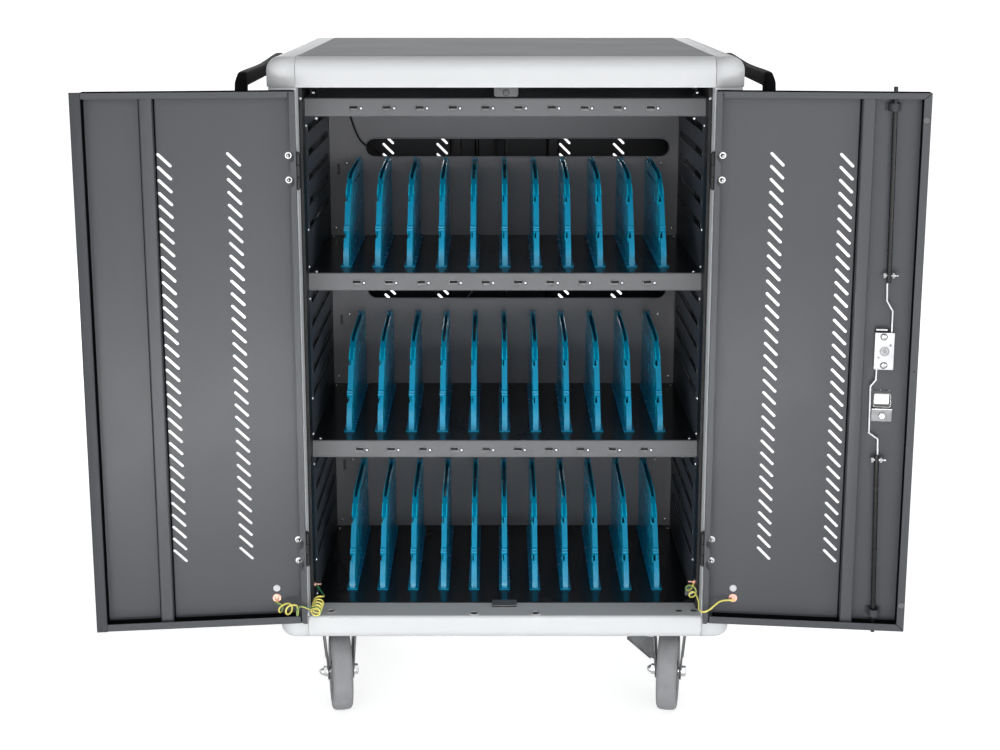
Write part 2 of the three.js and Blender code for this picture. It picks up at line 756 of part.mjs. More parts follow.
function buildCasters() {
  place(cart, "base_pan", basePan(), ZINC);
  const sides = { left: -1, right: 1 };
  ["front", "rear"].forEach((end, k) =>
    Object.entries(sides).forEach(([name, side]) => {
      const turn = k === 0 ? -side * TOE : side * TOE;
      const caster = group(cart, { x: side * SWIVEL_X, y: SWIVEL_Y[k], turn });
      place(caster, `caster_fork_${end}_${name}`, fork(), ZINC);
      place(caster, `caster_wheel_${end}_${name}`, wheel(), GREY_RUBBER);
      if (k === 0 && side === 1) place(caster, "caster_brake_pedal", brakePedal(), ZINC);
    }),
  );
}

function buildLock(parent, end) {
  place(parent, `${end}_lock_housing`, lockHousing(), BLACK_PLASTIC);
  place(parent, `${end}_lock_cam`, lockCam(), ZINC);
  place(parent, `${end}_lock_lever`, lockLever(), BLACK_PLASTIC);
  place(parent, `${end}_upper_rod`, boltRod(UPPER_ROD, 1, UPPER_LINK), ZINC);
  place(parent, `${end}_lower_rod`, boltRod(LOWER_ROD, -1, LOWER_LINK), ZINC);
}

// A door leaf swung open about its hinge, in the coordinates of the shut door.
function openLeaf(parent) {
  const hinge = group(parent, { x: HINGE_X, y: -HINGE_OUT, turn: DOOR_OPEN });
  return group(hinge, { x: -HINGE_X, y: HINGE_OUT });
}

function buildDoors() {
  const rightLeaf = openLeaf(cart);
  const leftLeaf = openLeaf(leftSide);
  place(rightLeaf, "front_door_right", cut(pan(1), lockHoles()), GREY_PAINT);
  place(leftLeaf, "front_door_left", join(pan(-1), coverStrip()), GREY_PAINT);
  place(rightLeaf, "front_stiffener_right", stiffener(), GREY_PAINT);
  place(leftLeaf, "front_stiffener_left", stiffener(), GREY_PAINT);
  buildLock(rightLeaf, "front");
  place(rearLeft, "rear_door_left", cut(join(pan(1), rearBrace()), lockHoles()), GREY_PAINT);
  place(rearSide, "rear_door_right", join(pan(-1), rearBrace(), coverStrip()), GREY_PAINT);
  buildLock(rearLeft, "rear");
}

buildCabinet();
buildBays();
buildCasters();
buildDoors();

export default cart;
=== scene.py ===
import json
import math
import bmesh
import bpy
import numpy as np
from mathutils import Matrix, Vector
from mathutils.geometry import tessellate_polygon


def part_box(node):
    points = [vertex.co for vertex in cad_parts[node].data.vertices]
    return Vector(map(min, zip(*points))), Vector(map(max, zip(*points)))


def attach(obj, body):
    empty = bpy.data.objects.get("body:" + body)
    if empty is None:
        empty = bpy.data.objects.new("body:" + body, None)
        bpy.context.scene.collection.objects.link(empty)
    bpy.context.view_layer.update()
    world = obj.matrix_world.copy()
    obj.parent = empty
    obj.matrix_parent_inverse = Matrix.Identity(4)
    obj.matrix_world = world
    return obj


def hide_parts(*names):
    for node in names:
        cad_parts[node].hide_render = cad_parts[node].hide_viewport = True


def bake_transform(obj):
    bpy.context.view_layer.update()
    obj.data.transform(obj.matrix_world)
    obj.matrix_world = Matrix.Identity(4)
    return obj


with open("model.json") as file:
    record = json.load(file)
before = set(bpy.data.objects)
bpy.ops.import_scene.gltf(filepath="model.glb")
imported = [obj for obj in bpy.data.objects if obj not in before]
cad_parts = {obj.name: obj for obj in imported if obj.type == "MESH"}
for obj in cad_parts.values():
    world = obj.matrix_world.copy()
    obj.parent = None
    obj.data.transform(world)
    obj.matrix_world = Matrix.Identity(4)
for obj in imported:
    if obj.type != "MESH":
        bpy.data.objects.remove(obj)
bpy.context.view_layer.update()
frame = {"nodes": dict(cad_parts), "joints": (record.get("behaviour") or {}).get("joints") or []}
nodes = frame["nodes"]
joints = {joint["name"]: joint for joint in frame["joints"]}

# The cart's own millimetres: x = 0 in the middle, y = 0 on the front face, z = 0 on the floor
sillLow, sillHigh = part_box("base_front_rail")
frontCentre = np.array([(sillLow.x + sillHigh.x) / 2, sillLow.y, 0])


def toFrame(points):
    return np.asarray(points, float) / 1000 + frontCentre


def toCart(point):
    return (np.array(point) - frontCentre) * 1000


def spanOf(node):
    return [toCart(corner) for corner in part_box(node)]


# Grids, outlines and the surfaces made from them

def gridFaces(rows, cols, wrapRows=False, wrapCols=False):
    i = np.arange(rows if wrapRows else rows - 1)[:, None]
    j = np.arange(cols if wrapCols else cols - 1)[None, :]
    corners = (i * cols + j, i * cols + (j + 1) % cols,
               (i + 1) % rows * cols + (j + 1) % cols, (i + 1) % rows * cols + j)
    return np.stack(np.broadcast_arrays(*corners), -1).reshape(-1, 4).tolist()


def arcOf(cu, cv, r, fromDeg, toDeg, steps):
    t = np.radians(np.linspace(fromDeg, toDeg, steps + 1))
    return np.column_stack((cu + r * np.cos(t), cv + r * np.sin(t)))


def circleOf(cu, cv, r, sides):
    return arcOf(cu, cv, r, 0, 360, sides)[:-1]


def roundRect(u, v, r, steps=4):
    corners = ((u[1] - r, v[0] + r), (u[1] - r, v[1] - r), (u[0] + r, v[1] - r), (u[0] + r, v[0] + r))
    return np.vstack([arcOf(*corner, r, 90 * k - 90, 90 * k, steps) for k, corner in enumerate(corners)])


def rectOf(u, v):
    return np.array([(u[0], v[0]), (u[1], v[0]), (u[1], v[1]), (u[0], v[1])], float)


def around(middle, size):
    return middle - size / 2, middle + size / 2


def raised(span, by):
    return span[0] + by, span[1] + by


columnOrder = {"x": (2, 0, 1), "y": (0, 2, 1), "z": (0, 1, 2)}


def prismOf(outline, axis, span, holes=()):
    # a flat outline with holes, in the other two axes, pushed along axis from span[0] to span[1]
    loops = [np.asarray(loop, float) for loop in (outline, *holes)]
    flat = np.vstack(loops)
    count = len(flat)
    ends = [np.column_stack((flat, np.full(count, w))) for w in span]
    lids = np.array(tessellate_polygon([[Vector((u, v, 0)) for u, v in loop] for loop in loops]))
    faces = lids.tolist() + (lids[:, ::-1] + count).tolist()
    first = 0
    for loop in loops:
        a = first + np.arange(len(loop))
        b = first + (np.arange(len(loop)) + 1) % len(loop)
        faces += np.column_stack((a, b, b + count, a + count)).tolist()
        first += len(loop)
    return np.vstack(ends)[:, columnOrder[axis]], faces


def boxOf(x, y, z, r=0.0):
    outline = roundRect(x, z, r, 3) if r else rectOf(x, z)
    return prismOf(outline, "y", y)


def framesAlong(path):
    # parallel transport: each frame is the last one turned as little as the path turns
    path = np.asarray(path, float)
    tangent = np.gradient(path, axis=0)
    tangent /= np.linalg.norm(tangent, axis=1)[:, None]
    side = np.cross(tangent[0], (0, 0, 1) if abs(tangent[0][2]) < 0.9 else (1, 0, 0))
    sides = []
    for t in tangent:
        side = side - t * np.dot(side, t)
        side = side / np.linalg.norm(side)
        sides.append(side)
    sides = np.array(sides)
    return path, sides, np.cross(tangent, sides)


def sweepOf(profile, path):
    # a closed profile carried square to the path, with a lid at each end
    path, side, lift = framesAlong(path)
    profile = np.asarray(profile, float)
    points = path[:, None] + profile[None, :, :1] * side[:, None] + profile[None, :, 1:] * lift[:, None]
    rows, cols = points.shape[:2]
    lids = [list(range(cols))[::-1], list(range((rows - 1) * cols, rows * cols))]
    return points.reshape(-1, 3), gridFaces(rows, cols, wrapCols=True) + lids


def tubeOf(path, r, sides=10):
    return sweepOf(circleOf(0, 0, r, sides), path)


def basisOf(axis):
    w = np.asarray(axis, float) / np.linalg.norm(axis)
    u = np.cross((0, 0, 1) if abs(w[2]) < 0.9 else (0, 1, 0), w)
    u /= np.linalg.norm(u)
    return np.array([u, np.cross(w, u), w])


def turnedOf(profile, at, axis, sides=24):
    # a profile of (radius, height) turned about the axis that leaves the point at
    profile = np.asarray(profile, float)
    t = np.linspace(0, 2 * np.pi, sides, endpoint=False)
    r, h = profile[:, 0][:, None], profile[:, 1][:, None]
    local = np.stack((r * np.cos(t), r * np.sin(t), h + 0 * t), -1).reshape(-1, 3)
    return local @ basisOf(axis) + np.asarray(at, float), gridFaces(len(profile), sides, wrapCols=True)


def smoothLine(points, count, ease=0):
    # a centripetal Catmull-Rom curve through the points, in equal steps of length, then eased ease times
    stepsPerSpan = 24
    p = np.asarray(points, float)
    p = np.vstack((2 * p[0] - p[1], p, 2 * p[-1] - p[-2]))
    knots = np.concatenate(([0], np.cumsum(np.linalg.norm(np.diff(p, axis=0), axis=1) ** 0.5)))
    pieces = []
    for i in range(1, len(p) - 2):
        t0, t1, t2, t3 = knots[i - 1:i + 3]
        t = np.linspace(t1, t2, stepsPerSpan, endpoint=False)[:, None]
        a1 = (t1 - t) / (t1 - t0) * p[i - 1] + (t - t0) / (t1 - t0) * p[i]
        a2 = (t2 - t) / (t2 - t1) * p[i] + (t - t1) / (t2 - t1) * p[i + 1]
        a3 = (t3 - t) / (t3 - t2) * p[i + 1] + (t - t2) / (t3 - t2) * p[i + 2]
        b1 = (t2 - t) / (t2 - t0) * a1 + (t - t0) / (t2 - t0) * a2
        b2 = (t3 - t) / (t3 - t1) * a2 + (t - t1) / (t3 - t1) * a3
        pieces.append((t2 - t) / (t2 - t1) * b1 + (t - t1) / (t2 - t1) * b2)
    line = np.vstack((*pieces, p[-2]))
    length = np.concatenate(([0], np.cumsum(np.linalg.norm(np.diff(line, axis=0), axis=1))))
    even = np.linspace(0, length[-1], count)
    line = np.column_stack([np.interp(even, length, line[:, k]) for k in range(3)])
    for _ in range(ease):
        line[1:-1] = (line[:-2] + 2 * line[1:-1] + line[2:]) / 4
    return line


def welded(part):
    # one vertex for all that share a place, and no edge of no length
    verts = np.asarray(part[0], float)
    _, kept, same = np.unique(np.round(verts, 3), axis=0, return_index=True, return_inverse=True)
    same = same.ravel()
    faces = []
    for poly in part[1]:
        loop = [same[index] for index in poly]
        loop = [a for a, b in zip(loop, loop[1:] + loop[:1]) if a != b]
        if len(loop) > 2:
            faces.append(loop)
    return verts[kept], faces


def gather(parts):
    points, faces, first = [], [], 0
    for verts, polys in map(welded, parts):
        points.append(verts)
        faces += [[index + first for index in poly] for poly in polys]
        first += len(verts)
    return np.vstack(points), faces


edgeLook = dict(sharpDeg=32, bevelDeg=40, bevelSteps=2)


def makePiece(name, parts, finish, body="cabinet", stands=(), place=toFrame, bevel=0.0,
              wall=0.0):
    points, faces = gather(parts)
    mesh = bpy.data.meshes.new(name)
    mesh.from_pydata(place(points).tolist(), [], faces)
    work = bmesh.new()
    work.from_mesh(mesh)
    bmesh.ops.recalc_face_normals(work, faces=work.faces)
    work.to_mesh(mesh)
    work.free()
    mesh.polygons.foreach_set("use_smooth", np.ones(len(mesh.polygons), bool))
    mesh.set_sharp_from_angle(angle=math.radians(edgeLook["sharpDeg"]))
    mesh.materials.append(finish)
    piece = bpy.data.objects.new(name, mesh)
    bpy.context.scene.collection.objects.link(piece)
    if wall:
        sheet = piece.modifiers.new("wall", "SOLIDIFY")
        sheet.thickness = wall / 1000
        sheet.offset = -1
    if bevel:
        edge = piece.modifiers.new("edge", "BEVEL")
        edge.width = bevel / 1000
        edge.segments = edgeLook["bevelSteps"]
        edge.limit_method = "ANGLE"
        edge.angle_limit = math.radians(edgeLook["bevelDeg"])
        edge.harden_normals = True
    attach(piece, body)
    if stands:
        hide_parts(*([stands] if isinstance(stands, str) else stands))
    return piece


# Fasteners, drawn on the point at with their heads along axis

def screwOf(at, axis, r=3.2, h=1.6):
    # a dome with a round socket: radius, height
    dome = [(r * math.cos(a), h * (0.25 + 0.75 * math.sin(a))) for a in (0.4, 0.8, 1.1)]
    socket = [(0.34 * r, h), (0.3 * r, 0.35 * h), (0, 0.3 * h)]
    return turnedOf([(r, 0), (r, 0.25 * h), *dome, *socket], at, axis, 16)


def washerOf(at, axis, r, hole, h):
    return turnedOf([(hole, 0), (r, 0), (r, h), (hole, h), (hole, 0)], at, axis, 20)


def nutOf(at, axis, r, h):
    # a six-sided prism with its corners turned off
    profile = [(0, 0), (r, 0), (r, 0.85 * h), (0.86 * r, h), (0.45 * r, h), (0, 0.95 * h)]
    return turnedOf(profile, at, axis, 6)


def acornOf(at, axis, r, h):
    # a six-sided skirt under a dome
    skirt = turnedOf([(0, 0), (r, 0), (r, 0.4 * h), (0.8 * r, 0.46 * h), (0, 0.46 * h)], at, axis, 6)
    t = np.linspace(0, np.pi / 2, 7)
    dome = np.column_stack((0.78 * r * np.cos(t), h * (0.42 + 0.58 * np.sin(t))))
    return [skirt, turnedOf(np.vstack(((0, 0.3 * h), (0.78 * r, 0.3 * h), dome)), at, axis, 18)]


# Finishes

def newFinish(name, **sockets):
    finish = bpy.data.materials.new(name)
    finish.use_nodes = True
    tree = finish.node_tree
    shader = tree.nodes["Principled BSDF"]
    for socket, value in sockets.items():
        shader.inputs[socket.replace("_", " ")].default_value = value
    return finish, tree, shader


def noiseOf(tree, scale, detail=3.0, stretch=(1, 1, 1)):
    where = tree.nodes.new("ShaderNodeTexCoord")
    mapping = tree.nodes.new("ShaderNodeMapping")
    mapping.inputs["Scale"].default_value = stretch
    noise = tree.nodes.new("ShaderNodeTexNoise")
    noise.inputs["Scale"].default_value = scale
    noise.inputs["Detail"].default_value = detail
    tree.links.new(where.outputs["Object"], mapping.inputs["Vector"])
    tree.links.new(mapping.outputs["Vector"], noise.inputs["Vector"])
    return noise.outputs["Fac"]


def rangeOf(tree, source, low, high, start=0.3, stop=0.7):
    span = tree.nodes.new("ShaderNodeMapRange")
    for socket, value in zip(("From Min", "From Max", "To Min", "To Max"), (start, stop, low, high)):
        span.inputs[socket].default_value = value
    tree.links.new(source, span.inputs["Value"])
    return span.outputs["Result"]


def mixOf(tree, source, dark, light, stops=(0.3, 0.7)):
    ramp = tree.nodes.new("ShaderNodeValToRGB")
    for element, stop, colour in zip(ramp.color_ramp.elements, stops, (dark, light)):
        element.position = stop
        element.color = (*colour, 1)
    tree.links.new(source, ramp.inputs["Fac"])
    return ramp.outputs["Color"]


def bumpOf(tree, shader, source, strength, depth):
    bump = tree.nodes.new("ShaderNodeBump")
    bump.inputs["Strength"].default_value = strength
    bump.inputs["Distance"].default_value = depth
    tree.links.new(source, bump.inputs["Height"])
    tree.links.new(bump.outputs["Normal"], shader.inputs["Normal"])


def shades(colour, spread):
    return [tuple(max(0.0, c * k) for c in colour) for k in (1 - spread, 1 + spread)]


def textured(name, colour, spread, clouds, marks, rough, grain, relief, **sockets):
    # clouds, marks and grain are the scale and detail of the noise in the colour, the gloss and the bump
    finish, tree, shader = newFinish(name, **sockets)
    tree.links.new(mixOf(tree, noiseOf(tree, *clouds), *shades(colour, spread)),
                   shader.inputs["Base Color"])
    tree.links.new(rangeOf(tree, noiseOf(tree, *marks), *rough), shader.inputs["Roughness"])
    bumpOf(tree, shader, noiseOf(tree, *grain), *relief)
    return finish


def powderCoat(name, colour, rough, peel=0.12, spread=0.05, grain=1100.0, gloss=0.4):
    # baked paint: a slow drift of colour, patches of gloss and a fine orange peel
    return textured(name, colour, spread, clouds=(5.0, 3.0), marks=(30.0, 3.0),
                    rough=(rough - 0.02, rough + 0.03), grain=(grain, 2.0), relief=(peel, 0.0002),
                    Specular_IOR_Level=gloss)


def enamel(name, colour, rough):
    # stoved gloss paint with faint wiping marks
    finish, tree, shader = newFinish(name, Base_Color=(*colour, 1), Specular_IOR_Level=0.4)
    marks = noiseOf(tree, 26.0, 5.0, (1, 0.25, 1))
    tree.links.new(rangeOf(tree, marks, rough - 0.04, rough + 0.09), shader.inputs["Roughness"])
    bumpOf(tree, shader, noiseOf(tree, 600.0, 2.0), 0.04, 0.0001)
    return finish


def moulded(name, colour, rough, grain, depth, spread=0.06, gloss=0.4):
    # injected plastic: flow shading and a spark-eroded grain
    return textured(name, colour, spread, clouds=(18.0, 4.0), marks=(90.0, 3.0),
                    rough=(rough - 0.05, rough + 0.08), grain=(grain, 2.0), relief=(depth, 0.0002),
                    Specular_IOR_Level=gloss)


def plated(name, colour, rough, spread=0.12):
    # zinc or nickel on steel: clouded colour, handling marks in the gloss
    return textured(name, colour, spread, clouds=(60.0, 4.0), marks=(240.0, 4.0),
                    rough=(rough - 0.1, rough + 0.12), grain=(500.0, 3.0), relief=(0.06, 0.0001),
                    Metallic=1.0)


def castRubber(name, colour):
    # matte tread with pale scuffing and a fine pebble
    return textured(name, colour, 0.1, clouds=(45.0, 6.0), marks=(120.0, 3.0), rough=(0.62, 0.8),
                    grain=(800.0, 4.0), relief=(0.2, 0.0002), Specular_IOR_Level=0.35)


def stripedSleeve(name, ground, stripe):
    # a second colour runs along the wire where the stripe attribute is high
    finish, tree, shader = newFinish(name)
    mark = tree.nodes.new("ShaderNodeAttribute")
    mark.attribute_name = "stripe"
    tree.links.new(mixOf(tree, mark.outputs["Fac"], ground, stripe, (0.68, 0.8)),
                   shader.inputs["Base Color"])
    tree.links.new(rangeOf(tree, noiseOf(tree, 300.0), 0.35, 0.5), shader.inputs["Roughness"])
    return finish


def glowing(name, colour, strength):
    finish, tree, shader = newFinish(name, Roughness=0.3, Emission_Strength=strength)
    shader.inputs["Emission Color"].default_value = (*colour, 1)
    tree.links.new(mixOf(tree, noiseOf(tree, 700.0), *shades(colour, 0.05)), shader.inputs["Base Color"])
    return finish


lightPaint = powderCoat("lightPaint", (0.67, 0.685, 0.7), 0.55, 0.06, 0.015, gloss=0.12)
greyPaint = powderCoat("greyPaint", (0.065, 0.0685, 0.076), 0.34, 0.12, 0.04, gloss=0.28)
stripPaint = powderCoat("stripPaint", (0.05, 0.053, 0.06), 0.5, gloss=0.2)
panelPaint = powderCoat("panelPaint", (0.3, 0.305, 0.316), 0.85, 0.4, 0.08, 700.0, gloss=0.1)
lipPaint = powderCoat("lipPaint", (0.135, 0.138, 0.145), 0.48, gloss=0.3)
linerPaint = powderCoat("linerPaint", (0.05, 0.056, 0.068), 0.42)
wallPaint = powderCoat("wallPaint", (0.24, 0.237, 0.25), 0.45, gloss=0.25)
blackEnamel = enamel("blackEnamel", (0.004, 0.0045, 0.006), 0.2)
bluePlastic = moulded("bluePlastic", (0.0, 0.26, 0.45), 0.22, 900.0, 0.005, gloss=0.25)
# painted light: a lighter copy of the blue plastic for the divider walls, standing in for light on their
# sides that the lamps don't give
blueLitCopy = moulded("blueLitCopy", (0.005, 0.5, 0.74), 0.2, 900.0, 0.003, gloss=0.25)
blackPlastic = moulded("blackPlastic", (0.012, 0.012, 0.013), 0.5, 1200.0, 0.35)
hingeBlack = moulded("hingeBlack", (0.01, 0.01, 0.011), 0.4, 900.0, 0.1)
capPlastic = moulded("capPlastic", (0.6, 0.61, 0.625), 0.4, 900.0, 0.08, 0.03)
hubPlastic = moulded("hubPlastic", (0.2, 0.205, 0.21), 0.5, 700.0, 0.2)
rodPaint = moulded("rodPaint", (0.008, 0.008, 0.009), 0.25, 1400.0, 0.05, gloss=0.3)
# painted shade: a black matt finish for the strips that stand in for shadow inside the leaf walls
paintedShadeFinish = moulded("paintedShadeFinish", (0.006, 0.006, 0.007), 0.9, 400.0, 0.5, gloss=0.0)
gripPlastic = moulded("gripPlastic", (0.007, 0.007, 0.008), 0.75, 900.0, 0.4, gloss=0.03)
zincPlate = plated("zincPlate", (0.38, 0.386, 0.397), 0.4)
forkZinc = plated("forkZinc", (0.11, 0.113, 0.118), 0.36, 0.2)
wornZinc = plated("wornZinc", (0.2, 0.205, 0.21), 0.42, 0.3)
brightSteel = plated("brightSteel", (0.53, 0.535, 0.54), 0.25)
copper = plated("copper", (0.8, 0.46, 0.38), 0.34, 0.2)
tyreRubber = castRubber("tyreRubber", (0.27, 0.277, 0.287))
cableJacket = castRubber("cableJacket", (0.012, 0.012, 0.012))
earthSleeve = stripedSleeve("earthSleeve", (0.8, 0.72, 0.17), (0.04, 0.26, 0.1))
lampGlow = glowing("lampGlow", (0.9, 0.93, 1.0), 0.7)
print("finishes made")

# Camera and light

cameraPlan = dict(at=(-13.96, -2144.6, 1142.4), pitch=11.172, lens=55.424, shift=(0.0045, -0.11))
cameraData = bpy.data.cameras.new("camera")
cameraData.sensor_width = 36
cameraData.lens = cameraPlan["lens"]
cameraData.shift_x, cameraData.shift_y = cameraPlan["shift"]
camera = bpy.data.objects.new("camera", cameraData)
camera.location = toFrame(cameraPlan["at"])
camera.rotation_euler = (math.radians(90 - cameraPlan["pitch"]), 0, 0)
bpy.context.scene.collection.objects.link(camera)
bpy.context.scene.camera = camera
bpy.context.scene.view_settings.view_transform = "Standard"

lampPlan = dict(
    frontLight=dict(at=(0.95, -3.6, 0.95), aim=(0.1, 0, 0.6), size=(3.2, 1.7), watts=36),
    fillLight=dict(at=(-0.9, -3.6, 2.2), aim=(0, 0, 0.5), size=(2.6, 1.4), watts=32),
    lowLight=dict(at=(-0.3, -1.75, 0.1), aim=(0, -0.26, 0.3), size=(1.6, 0.14), watts=12),
    leftLight=dict(at=(-3.4, -2.3, 0.8), aim=(0, 0, 0.5), size=(1.2, 1.2), watts=7),
    rightLight=dict(at=(3.4, -2.3, 0.8), aim=(0, 0, 0.5), size=(1.2, 1.2), watts=26),
    topLight=dict(at=(1.4, 0.2, 2.7), aim=(0, 0, 0.9), size=(2.0, 1.8), watts=11),
    backLight=dict(at=(-0.6, 3.5, 1.4), aim=(0, 0, 0.6), size=(2.8, 1.6), watts=70))


def softBox(name, at, aim, size, watts):
    lampData = bpy.data.lights.new(name, "AREA")
    lampData.shape = "RECTANGLE"
    lampData.size, lampData.size_y = size
    lampData.energy = watts
    lamp = bpy.data.objects.new(name, lampData)
    lamp.location = at
    lamp.rotation_euler = (Vector(aim) - Vector(at)).to_track_quat("-Z", "Y").to_euler()
    bpy.context.scene.collection.objects.link(lamp)


for lampName, lampRow in lampPlan.items():
    softBox(lampName, **lampRow)


def mathOf(tree, operation, first, second):
    node = tree.nodes.new("ShaderNodeMath")
    node.operation = operation
    tree.links.new(first, node.inputs[0])
    tree.links.new(second, node.inputs[1])
    return node.outputs[0]


def brightFor(tree):
    # 1 on a ray that the camera sees straight, in gloss or through glass, and 0 on the rest
    rays = tree.nodes.new("ShaderNodeLightPath")
    total = rays.outputs["Is Camera Ray"]
    for output in ("Is Glossy Ray", "Is Transmission Ray"):
        total = mathOf(tree, "MAXIMUM", total, rays.outputs[output])
    return total


def studioWorld():
    # seen directly or in gloss the room is white, but it adds only part of the light
    world = bpy.data.worlds.new("studio")
    world.use_nodes = True
    tree = world.node_tree
    tree.links.new(rangeOf(tree, brightFor(tree), 0.2, 1.0, 0, 1),
                   tree.nodes["Background"].inputs["Strength"])
    tree.nodes["Background"].inputs["Color"].default_value = (1, 1, 1, 1)
    bpy.context.scene.world = world


floorPlan = dict(reach=120.0, paper=0.86, near=0.62, glowFrom=1.2, glowFull=5.0)


def paleFloor():
    # white paper that keeps the soft shadow under the cart and glows to full white further out
    p, reach = floorPlan, floorPlan["reach"]
    floorMesh = bpy.data.meshes.new("floor")
    corners = [(-reach, -reach, 0), (reach, -reach, 0), (reach, reach, 0), (-reach, reach, 0)]
    floorMesh.from_pydata(corners, [], [(0, 1, 2, 3)])
    paper = (p["paper"], p["paper"], p["paper"], 1)
    finish, tree, shader = newFinish("paper", Base_Color=paper, Roughness=0.9, Specular_IOR_Level=0.0,
                                     Emission_Color=(1, 1, 1, 1))
    where = tree.nodes.new("ShaderNodeTexCoord")
    length = tree.nodes.new("ShaderNodeVectorMath")
    length.operation = "LENGTH"
    tree.links.new(where.outputs["Object"], length.inputs[0])
    glow = rangeOf(tree, length.outputs["Value"], p["near"], 1.0, p["glowFrom"], p["glowFull"])
    tree.links.new(mathOf(tree, "MULTIPLY", glow, brightFor(tree)), shader.inputs["Emission Strength"])
    floorMesh.materials.append(finish)
    floor = bpy.data.objects.new("floor", floorMesh)
    bpy.context.scene.collection.objects.link(floor)


studioWorld()
paleFloor()
print("camera, lights and floor set")

# Cords: the power lead to the upper ports and an earth wire to each front door

leadPlan = dict(diameter=3.2, steps=200, ease=2, points=[
    (-224, 93.5, 938.8), (-226, 114, 939.8), (-262, 240, 944.8), (-266, 345, 941.8), (-258, 364, 920.8),
    (-250, 366, 891), (-236, 366, 856), (-222, 373, 842), (-206, 392, 828), (-196, 406, 780),
    (-192, 405, 740), (-188, 401, 706.6)])
earthPlan = dict(diameter=2.6, steps=420, loopSteps=16, greenFrom=0.93, ease=14)


def loopsOf(turns, start, stop, radii):
    # turns about a moving centre: centre + (rx sin t, ry sin t, rz cos t)
    count = round(turns * earthPlan["loopSteps"]) + 1
    t = np.linspace(0, 2 * np.pi * turns, count)[:, None]
    return np.linspace(start, stop, count) + np.hstack((np.sin(t), np.sin(t), np.cos(t))) * radii


def leftEarthRoute():
    return np.vstack(((-338.5, -15.6, 216.5),
                      loopsOf(1, (-332, -22, 209.6), (-326.5, -27, 209.6), (3.6, 4.6, 5.8)),
                      loopsOf(1, (-319.5, -28.5, 211.6), (-313, -34.5, 211.6), (5.6, 5.4, 7.8)),
                      loopsOf(1, (-305.5, -39, 213.4), (-299.5, -42.5, 213.4), (1.2, 6.2, 7.6)),
                      (-294, -36.4, 217.5), (-287, -31, 212),
                      loopsOf(4, (-280, -15.5, 199.6), (-276.5, 5.5, 208), (7.8, 0, 7.8)),
                      (-270, 13.5, 212), (-274, 27, 211.5), (-284.6, 40, 220)))


def rightEarthRoute():
    return np.vstack(((337.5, -16.2, 219), (326, -21, 221), (314.5, -28, 222), (305.5, -35, 218.5),
                      (297.5, -39.8, 214), (289, -39.5, 210.8), (283.8, -32, 211.5), (284.6, -22, 218),
                      loopsOf(1.5, (280, -6, 221), (277, 32, 220), (-6.3, 0, 6.3)),
                      (283, 37, 217), (284.7, 41, 224)))


def cordPiece(name, points, plan, finish, stands, greenFrom=1.0):
    # a tube with the cosine of its own angle kept as the stripe attribute, and all stripe past greenFrom
    sides = 12
    steps = plan["steps"]
    line = smoothLine(points, steps, plan["ease"])
    verts, faces = tubeOf(line, plan["diameter"] / 2, sides)
    mesh = bpy.data.meshes.new(name)
    mesh.from_pydata(toFrame(verts).tolist(), [], faces)
    mesh.polygons.foreach_set("use_smooth", np.ones(len(mesh.polygons), bool))
    mark = np.tile(np.cos(2 * np.pi * np.arange(sides) / sides), (steps, 1))
    mark[int(greenFrom * steps):] = 1.0
    stripe = mesh.attributes.new("stripe", "FLOAT", "POINT")
    stripe.data.foreach_set("value", mark.ravel().astype(np.float32))
    mesh.materials.append(finish)
    piece = bpy.data.objects.new(name, mesh)
    bpy.context.scene.collection.objects.link(piece)
    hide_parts(stands)
    return piece, toFrame(line)


def makeCords():
    lead, line = cordPiece("lead_cord", leadPlan["points"], leadPlan, cableJacket,
                           "power_lead")
    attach(lead, "cabinet")
    for side, points, reach in (("left", leftEarthRoute(), -1), ("right", rightEarthRoute(), 1)):
        wire, line = cordPiece(f"earth_cord_{side}", points, earthPlan, earthSleeve,
                               f"earth_wire_{side}", earthPlan["greenFrom"] if reach < 0 else 1.0)
        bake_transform(wire)


makeCords()
print("cords made")

# Caps and rails of the shell

capLow, capHigh = spanOf("top_end_cap_right")
shell = dict(seam=capLow[0], halfWidth=capHigh[0], depth=capHigh[1], railZ=capLow[2], height=capHigh[2],
             baseZ=spanOf("base_end_cap_right")[0][2], sillZ=spanOf("base_end_cap_right")[1][2],
             corner=24.0, topEdge=20.0, topRearEdge=10.0, baseEdge=15.0, sheet=1.5, capWall=2.5,
             railDepth=50.0, rearRailDepth=12.0, railReturn=24.0, rodHoleX=46.0, rodY=13.0, rodHoleR=6.2,
             tieHole=(-260.0, 21.5, 5.4), sillScrewX=(261.0, 284.0), sillScrewY=22.5, sillScrewR=5.0,
             sillEdge=5.0, gap=0.3)
railSpan = (shell["gap"] - shell["seam"], shell["seam"] - shell["gap"])


def flipped(place, axis, about):
    # mirrors the cart's x, or its y about the middle of the depth, before placing
    def mirrored(points):
        turned = np.array(points, float)
        turned[:, axis] = about - turned[:, axis]
        return place(turned)
    return mirrored


toLeft = flipped(toFrame, 0, 0)
toRear = flipped(toFrame, 1, shell["depth"])
toRearLeft = flipped(toRear, 0, 0)
bothSides = (("right", toFrame), ("left", toLeft))
bothEnds = (("front", toFrame), ("rear", toRear))


